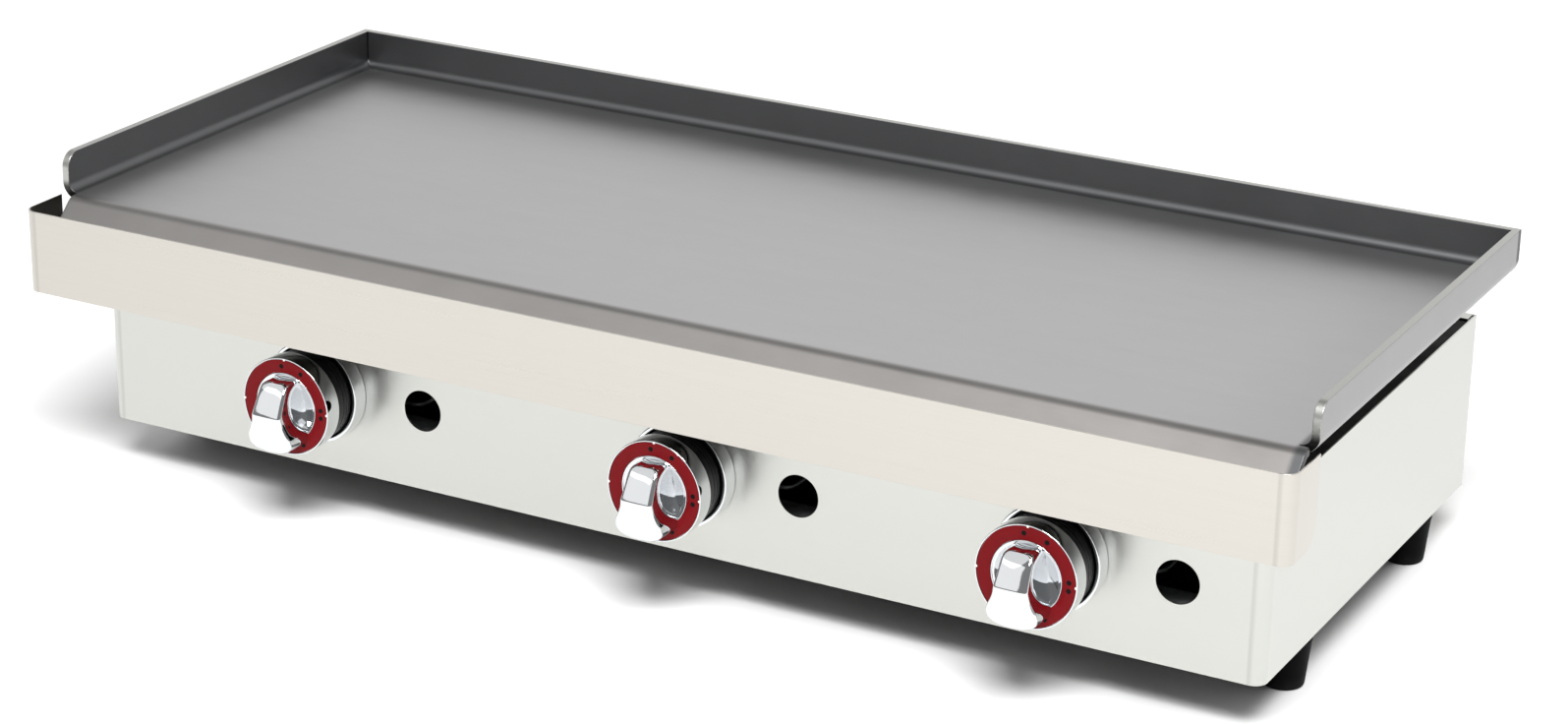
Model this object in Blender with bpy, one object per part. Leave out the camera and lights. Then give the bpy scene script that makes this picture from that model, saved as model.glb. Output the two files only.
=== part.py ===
"""Three-zone gas flat top griddle, modelled as its separate pieces.

Metres, +Z up. The front faces -Y and +X is the user's right. The origin is on the
surface that the feet stand on, in the middle of the griddle's width and depth.
"""

import math

import bmesh
import bpy
from mathutils import Matrix, Vector

# ---------------------------------------------------------------------------
# Driving dimensions
# ---------------------------------------------------------------------------

CLEARANCE = 0.0003            # gap between two pieces that touch

# Whole griddle
OVERALL_WIDTH = 1.005         # across the grease drawer's front
PANEL_SETBACK = 0.0534        # front panel behind the drawer's front face
BODY_DEPTH = 0.4003           # front panel's face to the sides' rear edges
BODY_OVERHANG = 0.032         # drawer front beyond the body, each side
FOOT_HEIGHT = 0.0378
BODY_HEIGHT = 0.1345
FLUE_GAP = 0.0387             # open slot between the body and the plate

# Griddle plate
PLATE_THICKNESS = 0.006
PLATE_INSET = 0.0016          # plate's side inside the drawer front's outer face
PLATE_REAR_INSET = 0.0094     # plate's rear face in front of the sides' rear edges
PLATE_SIDE_START = 0.0454     # front ends of the side upstands
UPSTAND_HEIGHT = 0.0294       # above the cooking surface
PLATE_BEND = 0.007            # inner radius of the upstand bends
UPSTAND_CORNER = 0.012        # rounded front corners of the side upstands
SEAM_GAP = 0.0008             # slit between the upstands in the rear corners
LIP_RELIEF = 0.0015           # notch between the lip and the side bends
LIP_START = 0.0425            # where the front lip starts to bend down
LIP_BEND = 0.012              # outer radius of the lip's bend
LIP_ANGLE = math.radians(45)
LIP_LENGTH = 0.027            # flat part of the lip
LIP_RIGHT_GAP = 0.0063        # right end of the lip to the drawer's wing

# Body sheets
SHEET = 0.0012
BODY_BEND = 0.010             # outer radius of the body's front corners
KNOB_DROP = 0.0713            # knob axis below the body's top edge
SIGHT_HOLE_DROP = 0.0726
SIGHT_HOLE_RADIUS = 0.0156
SHAFT_HOLE_RADIUS = 0.011
PAN_LIP = 0.018
PAN_CORNER = 0.012
PAN_REAR_GAP = 0.0157         # pan's rear edge to the sides' rear edges
AIR_SLOT = (0.018, 0.200)
AIR_SLOT_PITCH = 0.050
AIR_SLOTS_PER_ZONE = 2
REAR_FLANGE = 0.012
REAR_INSET = 0.0005
VENT_SLOT = (0.008, 0.050)
VENT_SLOT_PITCH = 0.024
VENT_SLOTS = 8
VENT_GROUP_SHIFT = 0.230      # middle of each group of vents from the centre

# Plate supports
RAIL_SHEET = 0.0015
RAIL_WIDTH = 0.044
RAIL_LEG = 0.030
RAIL_DROP = 0.001             # rail's top face below the body's top edge
POST_RADIUS = 0.007
POST_INSET = 0.0335           # post axis inside the body's side
POST_FRONT = 0.0446           # post axes from the ends of the side upstands
POST_REAR = 0.0353

# Grease drawer
DRAWER_HEIGHT = 0.0633
DRAWER_DROP = 0.0028          # drawer front's top edge below the cooking surface
DRAWER_BEND = 0.010
WING_LENGTH = 0.0442
WING_CORNER = 0.018
TROUGH_SHEET = 0.001
TROUGH_LIFT = 0.0063          # trough's underside above the front's lower edge
TROUGH_WALL = 0.0285
TROUGH_BACK = 0.0495          # trough's rear face behind the drawer's front face
ARM_THICKNESS = 0.004
ARM_HEIGHT = 0.012
ARM_LENGTH = 0.170
ARM_INSET = 0.0185            # arm's middle inside the body's side
ARM_LIFT = 0.0013             # arm's underside above the body's top edge
ARM_TAB = 0.020
ARM_TAB_SHEET = 0.002
RUNNER_SHEET = 0.0015
RUNNER_PLAY = 0.0005
RUNNER_WALL = 0.010
RUNNER_LENGTH = 0.180
RUNNER_START = 0.0036         # behind the front panel's face

# Heating zones: each knob's distance to the right of its zone's middle
KNOB_OFFSETS = (0.0394, 0.0359, 0.0051)
SIGHT_SPACING = 0.0884        # knob axis to sight hole, and between burner legs

# Knobs, measured forwards from the front panel's face
KNOB_RADIUS = 0.0372
KNOB_RIM = 0.0461             # front rim
KNOB_BAND = 0.0147            # depth of the chrome band
KNOB_WALL = 0.0025
SKIRT_STEP = 0.0024           # black skirt inside the chrome band
SKIRT_LENGTH = 0.0190
DIAL_INNER = 0.0236
DIAL_RECESS = 0.0014
DIAL_THICKNESS = 0.0008
RIM_WIDTH = 0.0010
DISH_DEPTH = 0.0075
DISH_EDGE = 0.0012            # chrome edge between the dish and the dial
DISH_EDGE_RISE = 0.0010
RIM_EDGE = 0.0005
GRIP_RISE = 0.0255            # grip's ridge in front of the rim
GRIP_OVERHANG = 0.0008        # grip's low end in front of the rim
GRIP_CHAMFER = 0.0025
GRIP_ROOT_INSET = 0.0015      # grip's foot inside the outline of the grip
# Sections of the grip: height above the knob's axis, half width, setback from the ridge
GRIP_SECTIONS = (
    (0.0215, 0.0090, 0.0125),
    (0.0185, 0.0110, 0.0085),
    (0.0, 0.0120, 0.0),
    (-0.0093, 0.0132, 0.0010),
    (-0.0164, 0.0175, 0.0030),
    (-0.0205, 0.0170, 0.0052),
    (-0.0236, 0.0136, 0.0072),
    (-0.0265, 0.0074, 0.0095),
)
KNOB_TRAVEL = 0.0035
BEZEL_RADIUS = 0.0390
BEZEL_DEPTH = 0.0137
BEZEL_WALL = 0.003
BEZEL_BORE = 0.012
BEZEL_EDGE = 0.001
HUB_RADIUS = 0.008
HUB_GAP = 0.0015              # hub to bezel with the knob pushed in
SKIRT_WEB = 0.004

# Gas taps
SPINDLE_RADIUS = 0.003
SPINDLE_TANG = 0.0026
SPINDLE_RECESS = 0.001        # spindle's front behind the skirt's face
SLOT_ROOM = 0.0005
TANG_LENGTH = 0.008
TAP_SIZE = 0.024
TAP_LENGTH = 0.034
TAP_DROP = 0.019              # tap's underside below the knob's axis
BONNET_THICKNESS = 0.004
BONNET_SETBACK = 0.0043       # bonnet's front behind the panel's face
PLUG_RADIUS = 0.0090
PLUG_TAPER = 0.0020
PLUG_LENGTH = 0.025
PLUG_PLAY = 0.00018
BORE_RECESS = 0.0020
BORE_ROOM = 0.001             # room behind the plug and behind the tang
INJECTOR_RADIUS = 0.005
INJECTOR_LENGTH = 0.011
INJECTOR_HEX = 0.0077
INJECTOR_TIP = 0.0025
PIPE_RADIUS = 0.01065
PIPE_WALL = 0.0026
PIPE_SETBACK = 0.0246         # pipe's axis behind the panel's face
PIPE_BEND = 0.025
PIPE_ROOM = 0.004             # gap from the pipe to the sheets beside it
PIPE_INSET = 0.0225           # pipe's run beside the body's right side
PIPE_END_REACH = 0.026        # pipe's capped end beyond the first tap
INLET_HEX = 0.0145            # corner radius of the inlet's hexagon
INLET_STUB_RADIUS = 0.0104
INLET_BORE = 0.007
INLET_STUB = 0.0228           # stub's end behind the sides' rear edges
NUT_RADIUS = 0.0175
NUT_THICKNESS = 0.008

# Burners
BURNER_RADIUS = 0.018
BURNER_WALL = 0.0012
BURNER_MOUTH = 0.015
BURNER_THROAT = 0.0105
BURNER_MOUTH_SETBACK = 0.052  # mouth behind the panel's face
BURNER_THROAT_LENGTH = 0.012
BURNER_VENTURI = 0.038
BURNER_TIP_SETBACK = 0.112
BURNER_REAR_ROOM = 0.0315     # rear of the bend to the sides' rear edges
PORT_SIZE = (0.016, 0.003)
PORT_PITCH = 0.045
PORT_DEPTH = 0.0072           # ports' cut below the top of the tube
SHIELD_SETBACK = 0.0966
SHIELD_FLANGE = 0.012
SHIELD_DROP = 0.020           # shield's top below the body's top edge
SHIELD_PLAY = 0.0012
SHIELD_SIDE_GAP = 0.006
REST_OVERLAP = 0.010          # rest's left end beyond the first burner
REST_WIDTH = 0.020
REST_FROM_BEND = 0.020
THERMO_RADIUS = 0.0015
THERMO_TIP = 0.0027
THERMO_FROM_LEG = 0.026
THERMO_SETBACK = 0.124
THERMO_RISE = 0.025
THERMO_ENTRY = 0.012          # lead's entry to the tap behind the pipe's axis
THERMO_DROP = 0.015
THERMO_HOLE = 0.004
THERMO_BEND = 0.008

# Feet
FOOT_BOTTOM_RADIUS = 0.0147
FOOT_TOP_RADIUS = 0.0185
FOOT_ROUND = 0.003
FOOT_INSET = 0.0191           # foot's axis inside the body's side
FOOT_FRONT = 0.0917           # feet's axes from the front panel's face
FOOT_REAR = 0.0672            # and from the sides' rear edges

ROUND_STEPS = 24              # sides of the knobs and other large round pieces
SMALL_STEPS = 16              # spindles, posts and sleeves
TUBE_STEPS = 12
WIRE_STEPS = 8
DISH_STEPS = 4
HEX_STEPS = 6
BEND_STEPS = 6
BURNER_TURN_STEPS = 9
SMOOTH_ANGLE = math.radians(35)

# ---------------------------------------------------------------------------
# Places worked out from the driving dimensions
# ---------------------------------------------------------------------------

GRIP_FRONT = PANEL_SETBACK - KNOB_RIM - GRIP_RISE
INLET_REAR = PANEL_SETBACK + BODY_DEPTH + INLET_STUB
FRONT = -(GRIP_FRONT + INLET_REAR) / 2          # y of the drawer's front face

PANEL_Y = FRONT + PANEL_SETBACK
REAR_Y = PANEL_Y + BODY_DEPTH
BODY_HALF = OVERALL_WIDTH / 2 - BODY_OVERHANG
BODY_INNER = BODY_HALF - SHEET
BODY_Z = FOOT_HEIGHT + CLEARANCE
BODY_TOP = BODY_Z + BODY_HEIGHT

PLATE_Z = BODY_TOP + FLUE_GAP
COOK_Z = PLATE_Z + PLATE_THICKNESS
PLATE_HALF = OVERALL_WIDTH / 2 - PLATE_INSET
PLATE_REAR = REAR_Y - PLATE_REAR_INSET
UPSTAND_X = PLATE_HALF - PLATE_THICKNESS        # inner faces of the side upstands
BEND_X = UPSTAND_X - PLATE_BEND                 # where the side bends start
UPSTAND_Y = PLATE_REAR - PLATE_THICKNESS
BEND_Y = UPSTAND_Y - PLATE_BEND

DRAWER_TOP = COOK_Z - DRAWER_DROP
DRAWER_Z = DRAWER_TOP - DRAWER_HEIGHT
DRAWER_HALF = OVERALL_WIDTH / 2
TROUGH_Z = DRAWER_Z + TROUGH_LIFT
ARM_Z = BODY_TOP + ARM_LIFT
ARM_X = BODY_HALF - ARM_INSET
ARM_Y = FRONT + TROUGH_BACK + CLEARANCE
RAIL_Z = BODY_TOP - RAIL_DROP

KNOB_Z = BODY_TOP - KNOB_DROP
SIGHT_Z = BODY_TOP - SIGHT_HOLE_DROP
ZONE_WIDTH = 2 * BODY_HALF / len(KNOB_OFFSETS)
KNOB_X = [(i - 1) * ZONE_WIDTH + offset for i, offset in enumerate(KNOB_OFFSETS)]
SIGHT_X = [x + SIGHT_SPACING for x in KNOB_X]

TAP_Y = PANEL_Y + BONNET_SETBACK + BONNET_THICKNESS + CLEARANCE
PLUG_Y = TAP_Y + BORE_RECESS
TAP_BOTTOM = KNOB_Z - TAP_DROP
PIPE_Z = TAP_BOTTOM - CLEARANCE - PIPE_RADIUS
PIPE_Y = PANEL_Y + PIPE_SETBACK
PIPE_X = BODY_HALF - PIPE_INSET
PIPE_REAR = REAR_Y - PAN_REAR_GAP
PAN_TOP = BODY_Z + SHEET
SHIELD_Y = PANEL_Y + SHIELD_SETBACK
BURNER_TURN = SIGHT_SPACING / 2
BURNER_TURN_Y = REAR_Y - BURNER_REAR_ROOM - BURNER_RADIUS - BURNER_TURN
REAR_PANEL_Y = REAR_Y - REAR_INSET


# ---------------------------------------------------------------------------
# Materials
# ---------------------------------------------------------------------------

def make_material(name, color, roughness, metallic):
    material = bpy.data.materials.new(name)
    material.use_nodes = True
    shader = material.node_tree.nodes["Principled BSDF"]
    shader.inputs["Base Color"].default_value = (*color, 1.0)
    shader.inputs["Roughness"].default_value = roughness
    shader.inputs["Metallic"].default_value = metallic
    return material


def make_materials():
    return {
        "plate_steel": make_material("plate_steel", (0.42, 0.42, 0.43), 0.42, 1.0),
        "brushed_stainless": make_material("brushed_stainless", (0.78, 0.76, 0.73), 0.30, 1.0),
        "panel_stainless": make_material("panel_stainless", (0.80, 0.81, 0.78), 0.35, 1.0),
        "galvanised": make_material("galvanised", (0.55, 0.57, 0.58), 0.45, 1.0),
        "burner_steel": make_material("burner_steel", (0.45, 0.43, 0.42), 0.40, 1.0),
        "brass": make_material("brass", (0.72, 0.55, 0.28), 0.30, 1.0),
        "chrome": make_material("chrome", (0.86, 0.87, 0.88), 0.06, 1.0),
        "black_plastic": make_material("black_plastic", (0.012, 0.012, 0.013), 0.35, 0.0),
        "red_dial": make_material("red_dial", (0.45, 0.012, 0.02), 0.25, 0.0),
        "foot_rubber": make_material("foot_rubber", (0.015, 0.015, 0.016), 0.60, 0.0),
    }


# ---------------------------------------------------------------------------
# Shape helpers
# ---------------------------------------------------------------------------

def arc(centre, radius, start, end, steps):
    """Points on an arc in a plane, with both ends."""
    points = []
    for i in range(steps + 1):
        angle = start + (end - start) * i / steps
        points.append((centre[0] + radius * math.cos(angle), centre[1] + radius * math.sin(angle)))
    return points


def finish(name, mesh, material, parent=None, smooth=False):
    """Put a mesh in the scene as the named piece."""
    if smooth:
        mesh.shade_smooth()
        mesh.set_sharp_from_angle(angle=SMOOTH_ANGLE)
    mesh.materials.append(material)
    piece = bpy.data.objects.new(name, mesh)
    bpy.context.collection.objects.link(piece)
    piece.parent = parent
    return piece


def mesh_of(name, bm, recalculate=True):
    if recalculate:
        bmesh.ops.recalc_face_normals(bm, faces=bm.faces)
    mesh = bpy.data.meshes.new(name)
    bm.to_mesh(mesh)
    bm.free()
    return mesh


def add_box(bm, low, high):
    """A closed box between two corners."""
    size = [b - a for a, b in zip(low, high)]
    middle = [(a + b) / 2 for a, b in zip(low, high)]
    matrix = Matrix.Translation(middle) @ Matrix.Diagonal((*size, 1.0))
    bmesh.ops.create_cube(bm, size=1.0, matrix=matrix)


def add_prism(bm, outline, place, low, high):
    """Extrude a closed outline; place(point, level) gives a corner in space."""
    bottom = [bm.verts.new(place(point, low)) for point in outline]
    top = [bm.verts.new(place(point, high)) for point in outline]
    bm.faces.new(bottom)
    bm.faces.new(top)
    for i in range(len(outline)):
        j = (i + 1) % len(outline)
        bm.faces.new((bottom[i], bottom[j], top[j], top[i]))


def prism_mesh(name, outline, place, low, high):
    bm = bmesh.new()
    add_prism(bm, outline, place, low, high)
    return mesh_of(name, bm)


def along_z(point, level):
    return (point[0], point[1], level)


def along_x(point, level):
    return (level, point[0], point[1])


def turned_mesh(name, profile, steps):
    """Turn a closed profile of (radius, distance forwards) about the local Y axis."""
    bm = bmesh.new()
    rings = []
    for radius, forwards in profile:
        if radius == 0:
            rings.append([bm.verts.new((0, -forwards, 0))] * steps)
            continue
        ring = []
        for i in range(steps):
            angle = 2 * math.pi * i / steps
            ring.append(bm.verts.new((radius * math.cos(angle), -forwards, radius * math.sin(angle))))
        rings.append(ring)
    for a, b in zip(rings, rings[1:] + rings[:1]):
        for i in range(steps):
            j = (i + 1) % steps
            corners = []
            for vertex in (a[i], a[j], b[j], b[i]):
                if vertex not in corners:
                    corners.append(vertex)
            if len(corners) > 2:
                bm.faces.new(corners)
    return mesh_of(name, bm)


def flatten_to_hexagon(mesh, radius):
    """Pull the widest part of a turned mesh in to a hexagon with this corner radius."""
    sector = 2 * math.pi / HEX_STEPS
    for vertex in mesh.vertices:
        if math.hypot(vertex.co.x, vertex.co.z) > radius - CLEARANCE:
            angle = math.atan2(vertex.co.z, vertex.co.x) % sector - sector / 2
            flat = math.cos(sector / 2) / math.cos(angle)
            vertex.co.x *= flat
            vertex.co.z *= flat


def rounded_path(corners, radius, steps):
    """A path through corner points, with an arc of the given radius at each inner one."""
    corners = [Vector(corner) for corner in corners]
    path = [corners[0]]
    for before, corner, after in zip(corners, corners[1:], corners[2:]):
        to_before = (before - corner).normalized()
        to_after = (after - corner).normalized()
        half = to_before.angle(to_after) / 2
        reach = radius / math.tan(half)
        centre = corner + (to_before + to_after).normalized() * (radius / math.sin(half))
        first = (corner + to_before * reach - centre).normalized()
        last = (corner + to_after * reach - centre).normalized()
        for i in range(steps + 1):
            path.append(centre + first.slerp(last, i / steps) * radius)
    path.append(corners[-1])
    return path


def tube_mesh(name, path, radii, steps, open_start=False, open_end=False):
    """A tube along a path. An open end is for a wall given by a Solidify modifier."""
    bm = bmesh.new()
    path = [Vector(point) for point in path]
    tangents = [(path[1] - path[0]).normalized()]
    for before, after in zip(path, path[2:]):
        tangents.append((after - before).normalized())
    tangents.append((path[-1] - path[-2]).normalized())
    side = tangents[0].orthogonal().normalized()
    rings = []
    for point, tangent, radius in zip(path, tangents, radii):
        side = (side - tangent * side.dot(tangent)).normalized()
        up = tangent.cross(side)
        ring = []
        for i in range(steps):
            angle = 2 * math.pi * i / steps
            ring.append(bm.verts.new(point + (side * math.cos(angle) + up * math.sin(angle)) * radius))
        rings.append(ring)
    for a, b in zip(rings, rings[1:]):
        for i in range(steps):
            j = (i + 1) % steps
            bm.faces.new((a[i], a[j], b[j], b[i]))
    if not open_start:
        bm.faces.new(rings[0][::-1])
    if not open_end:
        bm.faces.new(rings[-1])
    return mesh_of(name, bm, recalculate=False)


def add_wall(piece, thickness, outwards=False):
    """Give a sheet its thickness, on the side its faces point away from."""
    wall = piece.modifiers.new("wall", "SOLIDIFY")
    wall.thickness = thickness
    wall.offset = 1.0 if outwards else -1.0
    wall.use_even_offset = True


def cut(piece, mesh, place=None):
    """Subtract a mesh from a piece with a hidden cutter."""
    cutter = bpy.data.objects.new(piece.name + "_cutter", mesh)
    bpy.context.collection.objects.link(cutter)
    cutter.parent = piece.parent
    cutter.hide_render = True
    cutter.display_type = "WIRE"
    if place:
        cutter.location = place
    hole = piece.modifiers.new("cut", "BOOLEAN")
    hole.operation = "DIFFERENCE"
    hole.object = cutter


def fuse(piece, mesh, place=None):
    """Join a mesh to a piece with a hidden partner."""
    partner = bpy.data.objects.new(piece.name + "_partner", mesh)
    bpy.context.collection.objects.link(partner)
    partner.parent = piece.parent
    partner.hide_render = True
    partner.display_type = "WIRE"
    if place:
        partner.location = place
    join = piece.modifiers.new("join", "BOOLEAN")
    join.operation = "UNION"
    join.object = partner


def add_rod(bm, start, end, radius, steps):
    """A closed straight rod, for a pin or a hole cutter."""
    start = Vector(start)
    end = Vector(end)
    axis = end - start
    turn = axis.to_track_quat("Z", "Y").to_matrix().to_4x4()
    matrix = Matrix.Translation((start + end) / 2) @ turn
    bmesh.ops.create_cone(bm, cap_ends=True, segments=steps, radius1=radius, radius2=radius,
                          depth=axis.length, matrix=matrix)


def add_strip(bm, profile, place, stations):
    """Faces of a folded sheet: a profile repeated at each station."""
    rows = [[bm.verts.new(place(point, station)) for station in stations] for point in profile]
    for a, b in zip(rows, rows[1:]):
        for i in range(len(stations) - 1):
            bm.faces.new((a[i], a[i + 1], b[i + 1], b[i]))


def empty(name, location):
    """A frame on a joint's axis, which carries the pieces that move with it."""
    frame = bpy.data.objects.new(name, None)
    frame.location = location
    bpy.context.collection.objects.link(frame)
    return frame


def side_name(side):
    return "right" if side > 0 else "left"


# ---------------------------------------------------------------------------
# Griddle plate
# ---------------------------------------------------------------------------

def make_griddle_plate(materials):
    """One folded steel plate: upstands at the sides and back, a sloping lip in front."""
    bm = bmesh.new()
    side_front = FRONT + PLATE_SIDE_START
    base_front = side_front - LIP_RELIEF
    top = COOK_Z + UPSTAND_HEIGHT
    rear = PLATE_REAR
    lip_right = DRAWER_HALF - SHEET - LIP_RIGHT_GAP

    add_strip(bm, [(base_front, COOK_Z), (side_front, COOK_Z), (BEND_Y, COOK_Z)],
              along_x, (BEND_X, -BEND_X))

    bend = arc((0.0, PLATE_BEND), PLATE_BEND, -math.pi / 2, 0, BEND_STEPS)
    upstand = bend[-1:] + [(PLATE_BEND, UPSTAND_HEIGHT)]

    def back(point, station):
        return (station, BEND_Y + point[0], COOK_Z + point[1])

    add_strip(bm, bend, back, (BEND_X, -BEND_X))
    reach = UPSTAND_X - SEAM_GAP
    add_strip(bm, upstand, back, (reach, BEND_X, -BEND_X, -reach))

    for side in (-1, 1):
        def beside(point, station, side=side):
            return (side * (BEND_X + point[0]), station, COOK_Z + point[1])

        stations = (side_front, BEND_Y)
        long_stations = (side_front, BEND_Y, rear)
        if side < 0:
            stations = stations[::-1]
            long_stations = long_stations[::-1]
        add_strip(bm, bend, beside, stations)
        add_strip(bm, upstand, beside, long_stations)

    lip_y = FRONT + LIP_START
    lip = [(base_front, COOK_Z)]
    for y, z in arc((lip_y, COOK_Z - LIP_BEND), LIP_BEND, math.pi / 2,
                    math.pi / 2 + LIP_ANGLE, BEND_STEPS):
        lip.append((y, z))
    lip.append((lip[-1][0] - LIP_LENGTH * math.cos(LIP_ANGLE),
                lip[-1][1] - LIP_LENGTH * math.sin(LIP_ANGLE)))
    add_strip(bm, lip, along_x, (-BEND_X, BEND_X, lip_right))

    bmesh.ops.remove_doubles(bm, verts=bm.verts, dist=1e-5)
    for y, z, radius in ((side_front, top, UPSTAND_CORNER), (rear, COOK_Z + PLATE_BEND, PLATE_BEND)):
        corners = [v for v in bm.verts if abs(v.co.y - y) < 1e-5 and abs(v.co.z - z) < 1e-5]
        bmesh.ops.bevel(bm, geom=corners, offset=radius, segments=BEND_STEPS, profile=0.5,
                        affect="VERTICES")
    piece = finish("griddle_plate", mesh_of("griddle_plate", bm, recalculate=False),
                   materials["plate_steel"], smooth=True)
    add_wall(piece, PLATE_THICKNESS, outwards=True)


# ---------------------------------------------------------------------------
# Body
# ---------------------------------------------------------------------------

def wrapped_outline(half, front, rear, radius, thickness):
    """Plan outline of a sheet that goes round the front and both sides."""
    inner = radius - thickness
    right = half - radius
    outer = [(half, rear)]
    outer += arc((right, front + radius), radius, 0, -math.pi / 2, BEND_STEPS)
    outer += arc((-right, front + radius), radius, -math.pi / 2, -math.pi, BEND_STEPS)
    outer += [(-half, rear)]
    back = [(-half + thickness, rear)]
    back += arc((-right, front + radius), inner, -math.pi, -math.pi / 2, BEND_STEPS)
    back += arc((right, front + radius), inner, -math.pi / 2, 0, BEND_STEPS)
    back += [(half - thickness, rear)]
    return outer + back


def make_body_shell(materials):
    outline = wrapped_outline(BODY_HALF, PANEL_Y, REAR_Y, BODY_BEND, SHEET)
    mesh = prism_mesh("body_shell", outline, along_z, BODY_Z, BODY_TOP)
    piece = finish("body_shell", mesh, materials["panel_stainless"], smooth=True)
    bm = bmesh.new()
    for x in KNOB_X:
        add_rod(bm, (x, PANEL_Y - SHEET, KNOB_Z), (x, PANEL_Y + 2 * SHEET, KNOB_Z),
                SHAFT_HOLE_RADIUS, ROUND_STEPS)
    for x in SIGHT_X:
        add_rod(bm, (x, PANEL_Y - SHEET, SIGHT_Z), (x, PANEL_Y + 2 * SHEET, SIGHT_Z),
                SIGHT_HOLE_RADIUS, ROUND_STEPS)
    cut(piece, mesh_of("body_shell_cutter", bm))


def add_tray(bm, reach, front, rear, notch, wall):
    """Inner faces of a tray: a floor with notched corners and four upturned sides."""
    floor, top = wall
    across = (reach, reach - notch, notch - reach, -reach)
    along = (front, front + notch, rear - notch, rear)
    for i, rows in enumerate(((0, 1), (1, 2), (2, 3))):
        columns = across[1:3] if i != 1 else across
        add_strip(bm, [(along[row], floor) for row in rows], along_x, columns)
    add_strip(bm, [(front, top), (front, floor)], along_x, across[1:3])
    add_strip(bm, [(rear, floor), (rear, top)], along_x, across[1:3])
    for side in (-1, 1):
        def beside(level, station, side=side):
            return (side * reach, station, level)

        stations = along[1:3] if side > 0 else along[2:0:-1]
        add_strip(bm, (floor, top), beside, stations)
    bmesh.ops.remove_doubles(bm, verts=bm.verts, dist=1e-5)


def make_base_pan(materials):
    bm = bmesh.new()
    reach = BODY_INNER - CLEARANCE - SHEET
    front = PANEL_Y + 2 * SHEET + CLEARANCE
    rear = REAR_Y - PAN_REAR_GAP - SHEET
    add_tray(bm, reach, front, rear, PAN_CORNER, (PAN_TOP, BODY_Z + PAN_LIP))
    piece = finish("base_pan", mesh_of("base_pan", bm, recalculate=False), materials["galvanised"])
    add_wall(piece, SHEET, outwards=True)
    bm = bmesh.new()
    width, length = AIR_SLOT
    middle_y = (SHIELD_Y + BURNER_TURN_Y) / 2
    for knob_x in KNOB_X:
        for i in range(AIR_SLOTS_PER_ZONE):
            x = knob_x + BURNER_TURN + (i - (AIR_SLOTS_PER_ZONE - 1) / 2) * AIR_SLOT_PITCH
            add_box(bm, (x - width / 2, middle_y - length / 2, BODY_Z - SHEET),
                    (x + width / 2, middle_y + length / 2, PAN_TOP + SHEET))
    cut(piece, mesh_of("base_pan_cutter", bm))


def make_rear_panel(materials):
    """Rear sheet between the sides, with flanges turned forwards and vent slots."""
    bm = bmesh.new()
    reach = BODY_INNER - CLEARANCE
    low = BODY_Z
    x_stations = (reach, -reach)
    corner = SHEET
    outer_y = REAR_PANEL_Y
    inner_y = outer_y - REAR_FLANGE
    flat = reach - corner
    add_strip(bm, [(outer_y, low), (outer_y, low + corner), (outer_y, BODY_TOP - corner),
                   (outer_y, BODY_TOP)], along_x, (reach, flat, -flat, -reach))
    add_strip(bm, [(inner_y, low), (outer_y, low)], along_x, (flat, -flat))
    add_strip(bm, [(outer_y, BODY_TOP), (inner_y, BODY_TOP)], along_x, (flat, -flat))
    for x in x_stations:
        def upright(point, station, x=x):
            return (x, point, station)

        pair = (outer_y, inner_y) if x < 0 else (inner_y, outer_y)
        add_strip(bm, pair, upright, (BODY_TOP - corner, low + corner))
    bmesh.ops.remove_doubles(bm, verts=bm.verts, dist=1e-5)
    piece = finish("rear_panel", mesh_of("rear_panel", bm, recalculate=False),
                   materials["panel_stainless"])
    add_wall(piece, SHEET)
    bm = bmesh.new()
    add_rod(bm, (PIPE_X, outer_y - 2 * SHEET, PIPE_Z), (PIPE_X, outer_y + SHEET, PIPE_Z),
            INLET_STUB_RADIUS + 2 * CLEARANCE, SMALL_STEPS)
    width, height = VENT_SLOT
    middle_z = (BODY_Z + BODY_TOP) / 2
    for group in (-1, 1):
        for i in range(VENT_SLOTS):
            x = group * VENT_GROUP_SHIFT + (i - (VENT_SLOTS - 1) / 2) * VENT_SLOT_PITCH
            add_box(bm, (x - width / 2, outer_y - 2 * SHEET, middle_z - height / 2),
                    (x + width / 2, outer_y + SHEET, middle_z + height / 2))
    cut(piece, mesh_of("rear_panel_cutter", bm))


def make_plate_supports(materials):
    """An angle rail inside each side of the body, and the posts that carry the plate."""
    front = PANEL_Y + BODY_BEND
    rear = REAR_Y - PAN_REAR_GAP
    outer = BODY_INNER - CLEARANCE
    low = RAIL_Z - RAIL_LEG
    for side in (-1, 1):
        section = [(side * outer, RAIL_Z), (side * (outer - RAIL_WIDTH), RAIL_Z),
                   (side * (outer - RAIL_WIDTH), RAIL_Z - RAIL_SHEET),
                   (side * (outer - RAIL_SHEET), RAIL_Z - RAIL_SHEET),
                   (side * (outer - RAIL_SHEET), low), (side * outer, low)]
        mesh = prism_mesh("rail_" + side_name(side), section,
                          lambda point, level: (point[0], level, point[1]), front, rear)
        finish("rail_" + side_name(side), mesh, materials["galvanised"])
        x = side * (BODY_HALF - POST_INSET)
        for place, y in (("front", FRONT + PLATE_SIDE_START + POST_FRONT),
                         ("rear", PLATE_REAR - POST_REAR)):
            bm = bmesh.new()
            add_rod(bm, (x, y, RAIL_Z + CLEARANCE), (x, y, PLATE_Z - CLEARANCE),
                    POST_RADIUS, SMALL_STEPS)
            name = "plate_post_" + place + "_" + side_name(side)
            finish(name, mesh_of(name, bm), materials["galvanised"], smooth=True)


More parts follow.
